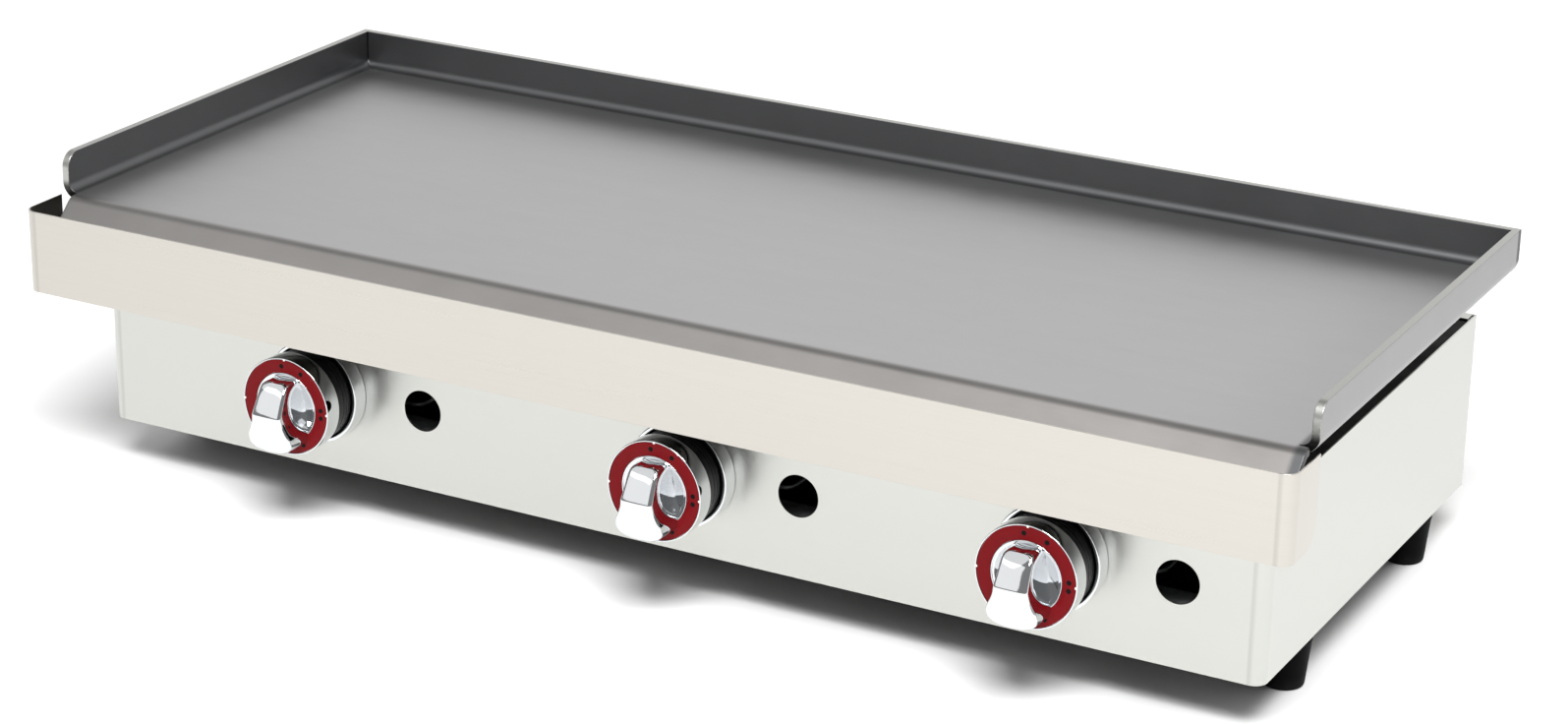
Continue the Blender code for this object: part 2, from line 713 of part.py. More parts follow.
def make_feet(materials):
    round_start = FOOT_BOTTOM_RADIUS - FOOT_ROUND
    outline = [(0, 0)]
    for r, z in arc((round_start, FOOT_ROUND), FOOT_ROUND, -math.pi / 2, 0, BEND_STEPS // 2):
        outline.append((r, z))
    outline += [(FOOT_TOP_RADIUS, FOOT_HEIGHT), (0, FOOT_HEIGHT)]
    for place, y in (("front", PANEL_Y + FOOT_FRONT), ("rear", REAR_Y - FOOT_REAR)):
        for side in (-1, 1):
            name = "foot_" + place + "_" + side_name(side)
            mesh = turned_mesh(name, outline, ROUND_STEPS)
            mesh.transform(Matrix.Rotation(-math.pi / 2, 4, "X"))
            piece = finish(name, mesh, materials["foot_rubber"], smooth=True)
            piece.location = (side * (BODY_HALF - FOOT_INSET), y, 0)


# ---------------------------------------------------------------------------
# Grease drawer
# ---------------------------------------------------------------------------

def make_drawer(materials):
    """The pull-out grease drawer: its front with wings, its trough and its two arms."""
    drawer = empty("drawer_slide", (0, FRONT, 0))

    bm = bmesh.new()
    right = DRAWER_HALF - DRAWER_BEND
    path = [(DRAWER_HALF, WING_LENGTH)]
    path += arc((right, DRAWER_BEND), DRAWER_BEND, 0, -math.pi / 2, BEND_STEPS)
    path += arc((-right, DRAWER_BEND), DRAWER_BEND, -math.pi / 2, -math.pi, BEND_STEPS)
    path += [(-DRAWER_HALF, WING_LENGTH)]
    add_strip(bm, path, along_z, (DRAWER_Z, DRAWER_TOP))
    corners = [v for v in bm.verts
               if abs(v.co.y - WING_LENGTH) < 1e-5 and abs(v.co.z - DRAWER_Z) < 1e-5]
    bmesh.ops.bevel(bm, geom=corners, offset=WING_CORNER, segments=BEND_STEPS, profile=0.5,
                    affect="VERTICES")
    front = finish("drawer_front", mesh_of("drawer_front", bm, recalculate=False),
                   materials["brushed_stainless"], drawer, smooth=True)
    add_wall(front, SHEET)

    bm = bmesh.new()
    half = DRAWER_HALF - SHEET - CLEARANCE - DRAWER_BEND - TROUGH_SHEET
    low = (-half, SHEET + CLEARANCE + TROUGH_SHEET)
    high = (half, TROUGH_BACK - TROUGH_SHEET)
    floor = TROUGH_Z + TROUGH_SHEET
    box = [bm.verts.new((x, y, z)) for z in (floor, TROUGH_Z + TROUGH_WALL)
           for x, y in ((low[0], low[1]), (high[0], low[1]), (high[0], high[1]), (low[0], high[1]))]
    bm.faces.new(box[:4])
    for i in range(4):
        j = (i + 1) % 4
        bm.faces.new((box[j], box[i], box[i + 4], box[j + 4]))
    trough = finish("drawer_trough", mesh_of("drawer_trough", bm, recalculate=False),
                    materials["brushed_stainless"], drawer)
    add_wall(trough, TROUGH_SHEET)

    start = ARM_Y - FRONT
    half_bar = ARM_THICKNESS / 2
    for side in (-1, 1):
        plan = [(ARM_X + half_bar, start), (ARM_X + half_bar, start + ARM_LENGTH),
                (ARM_X - half_bar, start + ARM_LENGTH), (ARM_X - half_bar, start + ARM_TAB_SHEET),
                (ARM_X - ARM_TAB, start + ARM_TAB_SHEET), (ARM_X - ARM_TAB, start)]
        plan = [(side * x, y) for x, y in plan]
        name = "drawer_arm_" + side_name(side)
        mesh = prism_mesh(name, plan, along_z, ARM_Z, ARM_Z + ARM_HEIGHT)
        finish(name, mesh, materials["galvanised"], drawer)


def make_drawer_runners(materials):
    """Channels on the rails that the drawer's arms slide in."""
    inside = ARM_THICKNESS / 2 + RUNNER_PLAY
    outside = inside + RUNNER_SHEET
    low = RAIL_Z + CLEARANCE
    floor = ARM_Z - RUNNER_PLAY
    high = low + RUNNER_WALL
    front = PANEL_Y + BODY_BEND
    for side in (-1, 1):
        section = [(-outside, low), (outside, low), (outside, high), (inside, high),
                   (inside, floor), (-inside, floor), (-inside, high), (-outside, high)]
        section = [(side * ARM_X + x, z) for x, z in section]
        name = "drawer_runner_" + side_name(side)
        mesh = prism_mesh(name, section, lambda point, level: (point[0], level, point[1]),
                          front, front + RUNNER_LENGTH)
        finish(name, mesh, materials["galvanised"])


# ---------------------------------------------------------------------------
# Knobs
# ---------------------------------------------------------------------------

def grip_mesh(name):
    """The bar that fingers turn: narrow above, broad below, ridged across the middle."""
    bm = bmesh.new()
    over = KNOB_RIM + GRIP_OVERHANG
    rows = []
    for height, half, setback in GRIP_SECTIONS:
        front = KNOB_RIM + GRIP_RISE - setback
        section = [(half, over), (half, front - GRIP_CHAMFER), (half - GRIP_CHAMFER, front)]
        section += [(-x, forwards) for x, forwards in reversed(section)]
        rows.append([bm.verts.new((x, -forwards, height)) for x, forwards in section])
    sides = len(rows[0])
    for a, b in zip(rows, rows[1:]):
        for i in range(sides):
            j = (i + 1) % sides
            bm.faces.new((a[i], a[j], b[j], b[i]))
    bm.faces.new(rows[0])
    bm.faces.new(rows[-1])
    return mesh_of(name, bm)


def grip_root_mesh(name):
    """The grip's foot, which stands in the dish."""
    bowl = DIAL_INNER - DISH_EDGE
    right = []
    for height, half, setback in GRIP_SECTIONS:
        if abs(height) < bowl:
            reach = min(half, math.sqrt(bowl ** 2 - height ** 2)) - GRIP_ROOT_INSET
            right.append((reach, height - math.copysign(GRIP_ROOT_INSET, height)))
    outline = right + [(-x, height) for x, height in reversed(right)]
    rear = KNOB_RIM - DIAL_RECESS - DISH_DEPTH - KNOB_WALL / 2
    front = KNOB_RIM + GRIP_OVERHANG + GRIP_CHAMFER
    return prism_mesh(name, outline, lambda point, level: (point[0], -level, point[1]), rear, front)


def cap_profile():
    """Half section of the chrome cap: outer band, rim, dial recess and dish."""
    back = KNOB_RIM - KNOB_BAND
    inner = KNOB_RADIUS - KNOB_WALL
    recess = KNOB_RADIUS - RIM_WIDTH
    seat = KNOB_RIM - DIAL_RECESS
    under = seat - KNOB_WALL
    floor = seat - DISH_DEPTH - KNOB_WALL
    edge = seat + DISH_EDGE_RISE
    outline = [(inner, back), (KNOB_RADIUS, back), (KNOB_RADIUS, KNOB_RIM - RIM_EDGE),
               (KNOB_RADIUS - RIM_EDGE, KNOB_RIM), (recess, KNOB_RIM), (recess, seat),
               (DIAL_INNER, seat), (DIAL_INNER, edge)]
    for i in range(DISH_STEPS):
        angle = math.pi / 2 * i / DISH_STEPS
        outline.append(((DIAL_INNER - DISH_EDGE) * math.cos(angle),
                        edge - (DISH_DEPTH + DISH_EDGE_RISE) * math.sin(angle)))
    outline += [(0, seat - DISH_DEPTH), (0, floor), (DIAL_INNER, floor), (DIAL_INNER, under),
                (inner, under)]
    return outline


def skirt_profile():
    """Half section of the black skirt: ring, front web and hub with the spindle's bore."""
    front = KNOB_RIM - KNOB_BAND - CLEARANCE
    outer = KNOB_RADIUS - SKIRT_STEP
    rear = front - SKIRT_LENGTH
    bore = SPINDLE_RADIUS + CLEARANCE
    web = front - SKIRT_WEB
    hub_rear = BEZEL_WALL + KNOB_TRAVEL + HUB_GAP
    return [(bore, hub_rear), (HUB_RADIUS, hub_rear), (HUB_RADIUS, web),
            (outer - KNOB_WALL, web), (outer - KNOB_WALL, rear), (outer, rear),
            (outer, front), (bore, front)]


def dial_profile():
    low = KNOB_RIM - DIAL_RECESS + CLEARANCE
    inner = DIAL_INNER + CLEARANCE
    outer = KNOB_RADIUS - RIM_WIDTH - CLEARANCE
    return [(inner, low), (outer, low), (outer, low + DIAL_THICKNESS), (inner, low + DIAL_THICKNESS)]


def bezel_profile():
    """Half section of the chrome ring that is fixed to the panel around the spindle."""
    inner = BEZEL_RADIUS - BEZEL_WALL
    return [(BEZEL_BORE, CLEARANCE), (BEZEL_RADIUS, CLEARANCE), (BEZEL_RADIUS, BEZEL_DEPTH - BEZEL_EDGE),
            (BEZEL_RADIUS - BEZEL_EDGE, BEZEL_DEPTH), (inner, BEZEL_DEPTH), (inner, BEZEL_WALL),
            (BEZEL_BORE, BEZEL_WALL)]


def make_spindle(number, axis, materials):
    """Round spindle with a flat tang at its rear end."""
    name = "spindle_" + number
    front = KNOB_RIM - KNOB_BAND - CLEARANCE - SPINDLE_RECESS
    tang = PANEL_Y - PLUG_Y - TANG_LENGTH
    mesh = turned_mesh(name, [(0, tang), (SPINDLE_RADIUS, tang), (SPINDLE_RADIUS, front), (0, front)],
                       SMALL_STEPS)
    piece = finish(name, mesh, materials["galvanised"], axis, smooth=True)
    bm = bmesh.new()
    start = PLUG_Y - PANEL_Y - KNOB_TRAVEL - SLOT_ROOM
    for side in (-1, 1):
        flat = (SPINDLE_TANG / 2, 2 * SPINDLE_RADIUS)
        add_box(bm, (min(side * f for f in flat), start, -2 * SPINDLE_RADIUS),
                (max(side * f for f in flat), start + 2 * PLUG_LENGTH, 2 * SPINDLE_RADIUS))
    cut(piece, mesh_of(name + "_cutter", bm))


def make_knobs(materials):
    for i, x in enumerate(KNOB_X):
        number = str(i + 1)
        place = (x, PANEL_Y, KNOB_Z)
        axis = empty("knob_axis_" + number, place)

        cap = finish("knob_cap_" + number, turned_mesh("knob_cap_" + number, cap_profile(), ROUND_STEPS),
                     materials["chrome"], axis, smooth=True)
        fuse(cap, grip_root_mesh("grip_root_" + number))
        fuse(cap, grip_mesh("grip_" + number))

        finish("dial_ring_" + number, turned_mesh("dial_ring_" + number, dial_profile(), ROUND_STEPS),
               materials["red_dial"], axis, smooth=True)
        finish("knob_skirt_" + number, turned_mesh("knob_skirt_" + number, skirt_profile(), ROUND_STEPS),
               materials["black_plastic"], axis, smooth=True)
        make_spindle(number, axis, materials)

        bezel = finish("bezel_" + number, turned_mesh("bezel_" + number, bezel_profile(), ROUND_STEPS),
                       materials["chrome"], smooth=True)
        bezel.location = place


# ---------------------------------------------------------------------------
# Gas taps and pipework
# ---------------------------------------------------------------------------

def make_tap(i, materials):
    """One gas tap: body with a tapered bore, bonnet, rotating plug and injector."""
    number = str(i + 1)
    x = KNOB_X[i]
    half = TAP_SIZE / 2

    bm = bmesh.new()
    add_box(bm, (x - half, TAP_Y, TAP_BOTTOM), (x + half, TAP_Y + TAP_LENGTH, KNOB_Z + half))
    body = finish("tap_body_" + number, mesh_of("tap_body_" + number, bm), materials["brass"])
    depth = BORE_RECESS + PLUG_LENGTH + BORE_ROOM
    wide = PLUG_RADIUS + PLUG_PLAY
    narrow = wide - PLUG_TAPER
    bore = turned_mesh("tap_bore_" + number,
                       [(0, SHEET), (wide, SHEET), (wide, -BORE_RECESS), (narrow, -depth), (0, -depth)],
                       ROUND_STEPS)
    cut(body, bore, (x, TAP_Y, KNOB_Z))

    bm = bmesh.new()
    front = PANEL_Y + BONNET_SETBACK
    add_box(bm, (x - half, front, KNOB_Z - half), (x + half, front + BONNET_THICKNESS, KNOB_Z + half))
    bonnet = finish("tap_bonnet_" + number, mesh_of("tap_bonnet_" + number, bm), materials["brass"])
    bm = bmesh.new()
    add_rod(bm, (x, front - SHEET, KNOB_Z), (x, front + BONNET_THICKNESS + SHEET, KNOB_Z),
            SPINDLE_RADIUS + CLEARANCE, SMALL_STEPS)
    cut(bonnet, mesh_of("tap_bonnet_cutter_" + number, bm))

    plug_axis = empty("plug_axis_" + number, (x, PLUG_Y, KNOB_Z))
    shank = [(0, 0), (PLUG_RADIUS, 0), (PLUG_RADIUS - PLUG_TAPER, -PLUG_LENGTH), (0, -PLUG_LENGTH)]
    plug = finish("tap_plug_" + number, turned_mesh("tap_plug_" + number, shank, ROUND_STEPS),
                  materials["brass"], plug_axis, smooth=True)
    bm = bmesh.new()
    slot = SPINDLE_TANG / 2 + CLEARANCE
    deep = TANG_LENGTH + KNOB_TRAVEL + BORE_ROOM
    add_box(bm, (-slot, -SHEET, -SPINDLE_RADIUS - CLEARANCE), (slot, deep, SPINDLE_RADIUS + CLEARANCE))
    cut(plug, mesh_of("tap_plug_cutter_" + number, bm))

    start = TAP_Y + TAP_LENGTH + CLEARANCE - PANEL_Y
    hexagon = [(0, -start), (INJECTOR_RADIUS, -start), (INJECTOR_RADIUS, -start - INJECTOR_HEX),
               (INJECTOR_TIP, -start - INJECTOR_LENGTH), (0, -start - INJECTOR_LENGTH)]
    injector = finish("injector_" + number, turned_mesh("injector_" + number, hexagon, HEX_STEPS),
                      materials["brass"])
    injector.location = (x, PANEL_Y, KNOB_Z)


def make_pipework(materials):
    """Gas manifold under the taps, its run to the rear, the inlet and the inlet's nut."""
    path = rounded_path([(KNOB_X[0] - PIPE_END_REACH, PIPE_Y, PIPE_Z), (PIPE_X, PIPE_Y, PIPE_Z),
                         (PIPE_X, PIPE_REAR, PIPE_Z)], PIPE_BEND, BEND_STEPS)
    mesh = tube_mesh("gas_manifold", path, [PIPE_RADIUS] * len(path), TUBE_STEPS, open_end=True)
    manifold = finish("gas_manifold", mesh, materials["galvanised"], smooth=True)
    add_wall(manifold, PIPE_WALL)

    shoulder = REAR_PANEL_Y - SHEET - CLEARANCE - REAR_Y
    start = PIPE_REAR + CLEARANCE - REAR_Y
    stub = INLET_STUB_RADIUS
    section = [(INLET_BORE, -start), (INLET_HEX, -start), (INLET_HEX, -shoulder),
               (stub, -shoulder), (stub, -INLET_STUB), (INLET_BORE, -INLET_STUB)]
    mesh = turned_mesh("gas_inlet", section, ROUND_STEPS)
    flatten_to_hexagon(mesh, INLET_HEX)
    inlet = finish("gas_inlet", mesh, materials["brass"])
    inlet.location = (PIPE_X, REAR_Y, PIPE_Z)

    front = -CLEARANCE
    ring = [(stub + CLEARANCE, front), (NUT_RADIUS, front), (NUT_RADIUS, front - NUT_THICKNESS),
            (stub + CLEARANCE, front - NUT_THICKNESS)]
    mesh = turned_mesh("inlet_nut", ring, ROUND_STEPS)
    flatten_to_hexagon(mesh, NUT_RADIUS)
    nut = finish("inlet_nut", mesh, materials["brass"])
    nut.location = inlet.location


# ---------------------------------------------------------------------------
# Burners
# ---------------------------------------------------------------------------

def make_burner(i, materials):
    """Hairpin tube burner: open venturi mouth behind the tap, closed tip at the sight hole."""
    number = str(i + 1)
    inlet = KNOB_X[i]
    outlet = SIGHT_X[i]
    mouth = PANEL_Y + BURNER_MOUTH_SETBACK
    tip = PANEL_Y + BURNER_TIP_SETBACK
    full = mouth + BURNER_VENTURI
    stations = [(mouth, BURNER_MOUTH), (mouth + BURNER_THROAT_LENGTH, BURNER_THROAT),
                (full, BURNER_RADIUS)]
    path = [(inlet, y, KNOB_Z) for y, radius in stations]
    radii = [radius for y, radius in stations]
    for x, y in arc((inlet + BURNER_TURN, BURNER_TURN_Y), BURNER_TURN, math.pi, 0, BURNER_TURN_STEPS):
        path.append((x, y, KNOB_Z))
        radii.append(BURNER_RADIUS)
    path.append((outlet, tip, KNOB_Z))
    radii.append(BURNER_RADIUS)
    mesh = tube_mesh("burner_" + number, path, radii, TUBE_STEPS, open_start=True)
    burner = finish("burner_" + number, mesh, materials["burner_steel"], smooth=True)
    add_wall(burner, BURNER_WALL)
    bm = bmesh.new()
    width, length = PORT_SIZE
    first = SHIELD_Y + PORT_PITCH
    count = int((BURNER_TURN_Y - first) / PORT_PITCH)
    for x in (inlet, outlet):
        for j in range(count):
            y = first + j * PORT_PITCH
            add_box(bm, (x - width / 2, y, KNOB_Z + BURNER_RADIUS - PORT_DEPTH),
                    (x + width / 2, y + length, KNOB_Z + BURNER_RADIUS + SHEET))
    cut(burner, mesh_of("burner_cutter_" + number, bm))


def make_thermocouple(i, materials):
    """Flame sensor between the burner's legs, with its lead back to the tap."""
    number = str(i + 1)
    x = SIGHT_X[i] - THERMO_FROM_LEG
    y = PANEL_Y + THERMO_SETBACK
    low = KNOB_Z - THERMO_DROP
    tap_side = KNOB_X[i] + TAP_SIZE / 2 + CLEARANCE
    path = rounded_path([(x, y, KNOB_Z + THERMO_RISE), (x, y, low), (x, PIPE_Y + THERMO_ENTRY, low),
                         (tap_side, PIPE_Y + THERMO_ENTRY, low)], THERMO_BEND, WIRE_STEPS // 2)
    radii = [THERMO_TIP] + [THERMO_RADIUS] * (len(path) - 1)
    mesh = tube_mesh("thermocouple_" + number, path, radii, WIRE_STEPS)
    finish("thermocouple_" + number, mesh, materials["galvanised"], smooth=True)


def make_heat_shield(materials):
    """Upright sheet between the taps and the burners, with a foot flange."""
    right = PIPE_X - PIPE_RADIUS - PIPE_ROOM
    left = -(BODY_INNER - CLEARANCE - SHEET - SHIELD_SIDE_GAP)
    low = PAN_TOP + CLEARANCE
    high = BODY_TOP - SHIELD_DROP
    section = [(SHIELD_Y, high), (SHIELD_Y, low + SHEET), (SHIELD_Y - SHIELD_FLANGE, low + SHEET),
               (SHIELD_Y - SHIELD_FLANGE, low), (SHIELD_Y + SHEET, low), (SHIELD_Y + SHEET, high)]
    mesh = prism_mesh("heat_shield", section, along_x, left, right)
    piece = finish("heat_shield", mesh, materials["galvanised"])
    bm = bmesh.new()
    y0, y1 = SHIELD_Y - SHEET, SHIELD_Y + 2 * SHEET
    for i in range(len(KNOB_X)):
        add_rod(bm, (KNOB_X[i], y0, KNOB_Z), (KNOB_X[i], y1, KNOB_Z), BURNER_RADIUS + SHIELD_PLAY,
                TUBE_STEPS)
        add_rod(bm, (SIGHT_X[i], y0, SIGHT_Z), (SIGHT_X[i], y1, SIGHT_Z), SIGHT_HOLE_RADIUS,
                TUBE_STEPS)
        x = SIGHT_X[i] - THERMO_FROM_LEG
        add_rod(bm, (x, y0, KNOB_Z - THERMO_DROP), (x, y1, KNOB_Z - THERMO_DROP), THERMO_HOLE, WIRE_STEPS)
    cut(piece, mesh_of("heat_shield_cutter", bm))


def make_burner_rest(materials):
    """Inverted channel across the pan that carries the rear ends of the burners."""
    y = BURNER_TURN_Y - REST_FROM_BEND
    low = PAN_TOP + CLEARANCE
    high = KNOB_Z - BURNER_RADIUS - CLEARANCE
    outer = REST_WIDTH / 2
    inner = outer - RAIL_SHEET
    section = [(y - outer, low), (y - inner, low), (y - inner, high - RAIL_SHEET),
               (y + inner, high - RAIL_SHEET), (y + inner, low), (y + outer, low),
               (y + outer, high), (y - outer, high)]
    left = KNOB_X[0] - BURNER_RADIUS - REST_OVERLAP
    right = PIPE_X - PIPE_RADIUS - PIPE_ROOM
    mesh = prism_mesh("burner_rest", section, along_x, left, right)
    finish("burner_rest", mesh, materials["galvanised"])


# ---------------------------------------------------------------------------
# The griddle
# ---------------------------------------------------------------------------

def main():
    for old in list(bpy.data.objects):
        bpy.data.objects.remove(old, do_unlink=True)
    materials = make_materials()
    make_griddle_plate(materials)
    make_body_shell(materials)
    make_base_pan(materials)
    make_rear_panel(materials)
    make_plate_supports(materials)
    make_feet(materials)
    make_drawer(materials)
    make_drawer_runners(materials)
    make_knobs(materials)
    for i in range(len(KNOB_X)):
        make_tap(i, materials)
        make_burner(i, materials)
        make_thermocouple(i, materials)
    make_pipework(materials)
    make_heat_shield(materials)
    make_burner_rest(materials)


main()
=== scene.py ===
"""Looks of a three-zone gas flat top griddle, laid out as a Blender add-on.

Metres, +Z up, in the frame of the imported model. Each operator makes one piece or a
group of like pieces around that frame, and the last one makes the studio.
"""

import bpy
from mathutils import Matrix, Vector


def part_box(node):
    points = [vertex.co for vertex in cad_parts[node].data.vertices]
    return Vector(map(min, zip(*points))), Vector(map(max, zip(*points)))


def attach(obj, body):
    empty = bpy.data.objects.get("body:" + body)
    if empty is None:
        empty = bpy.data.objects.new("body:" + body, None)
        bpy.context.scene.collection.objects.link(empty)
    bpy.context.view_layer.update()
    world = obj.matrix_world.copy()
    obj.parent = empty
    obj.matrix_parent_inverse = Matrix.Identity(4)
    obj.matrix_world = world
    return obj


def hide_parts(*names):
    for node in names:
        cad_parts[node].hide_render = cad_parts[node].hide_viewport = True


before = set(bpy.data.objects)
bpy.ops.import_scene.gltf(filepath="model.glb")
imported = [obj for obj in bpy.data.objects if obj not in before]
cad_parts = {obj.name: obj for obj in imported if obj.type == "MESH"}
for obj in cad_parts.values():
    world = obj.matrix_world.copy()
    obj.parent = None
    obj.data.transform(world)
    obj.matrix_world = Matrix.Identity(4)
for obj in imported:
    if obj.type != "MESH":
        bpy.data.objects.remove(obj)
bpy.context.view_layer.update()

import math

import bmesh
import bpy
from bpy.props import FloatProperty, FloatVectorProperty, IntProperty, PointerProperty
from mathutils import Matrix, Vector

bl_info = {
    "name": "Flat top griddle looks",
    "version": (1, 0, 0),
    "blender": (4, 5, 0),
    "location": "View3D > Sidebar > Griddle",
    "description": "Builds the visible pieces and finishes of a gas flat top griddle",
    "category": "Object",
}

KNOBS = ("1", "2", "3")
GAP = 0.0003
FULL_TURN = 2 * math.pi
FOLD_STEPS = 12
DISH_STEPS = 24
LIP_ANGLE = 45.0
MERGE = 1e-5


# ---- Node trees ----

class Tree:
    """A node tree with one way to add a node."""

    def __init__(self, tree):
        self.tree = tree
        tree.nodes.clear()

    def node(self, kind, settings=None, values=None):
        """A node of this type: its settings first, then its inputs' values or links."""
        node = self.tree.nodes.new(kind)
        for name, value in (settings or {}).items():
            if name == "stops":
                ramp = node.color_ramp
                while len(ramp.elements) < len(value):
                    ramp.elements.new(0.5)
                for element, (place, color) in zip(ramp.elements, value):
                    element.position = place
                    element.color = color
            else:
                setattr(node, name, value)
        for name, value in (values or {}).items():
            if isinstance(value, Value):
                self.tree.links.new(value.socket, node.inputs[name])
            else:
                node.inputs[name].default_value = value
        return node

    def value(self, kind, settings=None, values=None, output=0):
        return Value(self, self.node(kind, settings, values).outputs[output])

    def math(self, operation, *terms):
        return self.value("ShaderNodeMath", {"operation": operation}, dict(enumerate(terms)))


class Value:
    """A socket that takes part in Python arithmetic."""

    def __init__(self, tree, socket):
        self.tree = tree
        self.socket = socket

    def __add__(self, other):
        return self.tree.math("ADD", self, other)

    __radd__ = __add__

    def __mul__(self, other):
        return self.tree.math("MULTIPLY", self, other)

    __rmul__ = __mul__

    def __sub__(self, other):
        return self.tree.math("SUBTRACT", self, other)

    def __rsub__(self, other):
        return self.tree.math("SUBTRACT", other, self)

    def __abs__(self):
        return self.tree.math("ABSOLUTE", self)

    def most(self, other):
        return self.tree.math("MAXIMUM", self, other)

    def rise(self, low, high):
        """0 below low, 1 above high, and smooth between."""
        return self.tree.value("ShaderNodeMapRange", {"interpolation_type": "SMOOTHSTEP"},
                               {0: self, 1: low, 2: high})


def opaque(color):
    """Three colour numbers with a full alpha; a socket is left as it is."""
    return color if isinstance(color, Value) else (*color, 1.0)


class Finish(Tree):
    """A surface finish: procedural colour, roughness and relief on Object coordinates."""

    def __init__(self, name):
        self.material = bpy.data.materials.new(name)
        self.material.use_nodes = True
        super().__init__(self.material.node_tree)
        self.place = self.value("ShaderNodeTexCoord", output="Object")
        split = self.node("ShaderNodeSeparateXYZ", values={0: self.place})
        self.x, self.y, self.z = (Value(self, socket) for socket in split.outputs)

    def stretched(self, scale):
        """Object coordinates multiplied axis by axis."""
        return self.value("ShaderNodeVectorMath", {"operation": "MULTIPLY"}, {0: self.place, 1: scale})

    def noise(self, scale, detail=2.0, roughness=0.5):
        """Noise from about 0 to 1. The scale is per metre, one number or one for each axis."""
        if isinstance(scale, (int, float)):
            scale = (scale, scale, scale)
        return self.value("ShaderNodeTexNoise", None, {
            "Vector": self.stretched(scale), "Scale": 1.0, "Detail": detail, "Roughness": roughness})

    def cells(self, scale):
        """A random grey for each cell, as in zinc spangle."""
        cell = self.value("ShaderNodeTexVoronoi", None,
                          {"Vector": self.stretched((scale, scale, scale)), "Scale": 1.0}, "Color")
        return self.value("ShaderNodeSeparateColor", None, {0: cell})

    def mix(self, factor, first, second, blend="MIX"):
        """Two colours mixed by a factor between 0 and 1."""
        return self.value("ShaderNodeMix", {"data_type": "RGBA", "blend_type": blend},
                          {0: factor, 6: opaque(first), 7: opaque(second)}, 2)

    def shaded(self, color, factor):
        """A colour made lighter or darker by a factor about 1."""
        grey = self.value("ShaderNodeCombineColor", None, {0: factor, 1: factor, 2: factor})
        return self.mix(1.0, color, grey, "MULTIPLY")

    def surface(self, color, roughness, metallic, relief=None, depth=0.0001, strength=1.0, more=None):
        """The shader, with a bump from a relief between 0 and 1 that is this deep in metres."""
        values = {"Base Color": opaque(color), "Roughness": roughness, "Metallic": metallic, **(more or {})}
        if relief is not None:
            values["Normal"] = self.value("ShaderNodeBump", None, {
                "Height": relief, "Distance": depth, "Strength": strength})
        shader = self.value("ShaderNodeBsdfPrincipled", None, values)
        self.node("ShaderNodeOutputMaterial", None, {0: shader})
        return self.material


# ---- Finishes ----

def tones():
    return bpy.context.scene.griddle_finishes


def plate_steel():
    """Satin rolled steel: even in the cooking area, with painted shade that darkens the upstands, the rear
    corner slits, the plate near the upstands and the lip.
    """
    colors = tones()
    low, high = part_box("griddle_plate")
    sizes = bpy.context.scene.griddle_plate
    cook = high.z - sizes.upstand
    side = high.x - sizes.thickness
    rear = high.y - sizes.thickness
    finish = Finish("plate_steel")
    cloud = finish.noise(5.0, 3.0, 0.55)
    blotch = finish.noise((28.0, 44.0, 30.0), 4.0, 0.6)
    grain = finish.noise((60.0, 700.0, 700.0), 2.0, 0.6)
    beside = (abs(finish.x) - (side - sizes.bend)).rise(-0.003, 0.002)
    behind = (finish.y - (rear - sizes.bend)).rise(-0.003, 0.002)
    # painted shade: the outer faces of the side upstands are darkened below
    outside = (abs(finish.x) - side).rise(0.0015, 0.003)
    # painted shade: the upstands' inner faces take the darker upstand colour
    inner = beside.most(behind) * (1 - outside)
    # painted shade: a near-black band in each rear corner stands for the shade in the slit between the
    # upstands
    seam = ((abs(finish.x) - side).rise(-sizes.seam * 1.6, -sizes.seam * 0.6)
            * (finish.y - rear).rise(-sizes.seam * 1.6, -sizes.seam * 0.6)
            * finish.z.rise(cook + sizes.bend * 0.4, cook + sizes.bend))
    # painted shade: the sloping lip is darker only through its own colour
    lip = 1 - finish.y.rise(low.y + 0.022, low.y + 0.030)
    # painted shade: the plate darkens within 11 cm of the side and rear upstands
    near_upstand_shade = (abs(finish.x) - side).rise(-0.11, -0.01).most((finish.y - rear).rise(-0.11, -0.01))
    streak = finish.noise((5.0, 55.0, 55.0), 3.0, 0.6)
    tone = 0.86 + 0.12 * cloud + 0.12 * blotch + 0.06 * streak + 0.04 * grain - 0.08 * near_upstand_shade
    color = finish.mix(lip, colors.plate, colors.lip)
    color = finish.mix(inner, color, colors.upstand)
    # painted shade in the corner slits and on the upstands' outer faces
    color = finish.shaded(color, tone * (1 - 0.85 * seam) * (1 - 0.26 * outside))
    roughness = 0.29 + 0.10 * cloud + 0.05 * blotch + 0.06 * inner
    return finish.surface(color, roughness, 1.0, 0.6 * grain + 0.4 * blotch, 0.00003, 0.5)


def cut_edge_steel():
    """The plate's ground edges, with painted shade that darkens them below the bends."""
    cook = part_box("griddle_plate")[1].z - bpy.context.scene.griddle_plate.upstand
    finish = Finish("cut_edge_steel")
    grain = finish.noise((500.0, 500.0, 900.0), 2.0)
    # painted shade: the edges are darkened to about an eighth below the bends
    unshaded = finish.z.rise(cook + 0.003, cook + 0.010)
    color = finish.shaded(tones().cut_edge,
                          (0.88 + 0.2 * grain) * (0.12 + 0.88 * unshaded))
    return finish.surface(color, 0.34 + 0.12 * grain, 1.0, grain, 0.00004, 0.5)


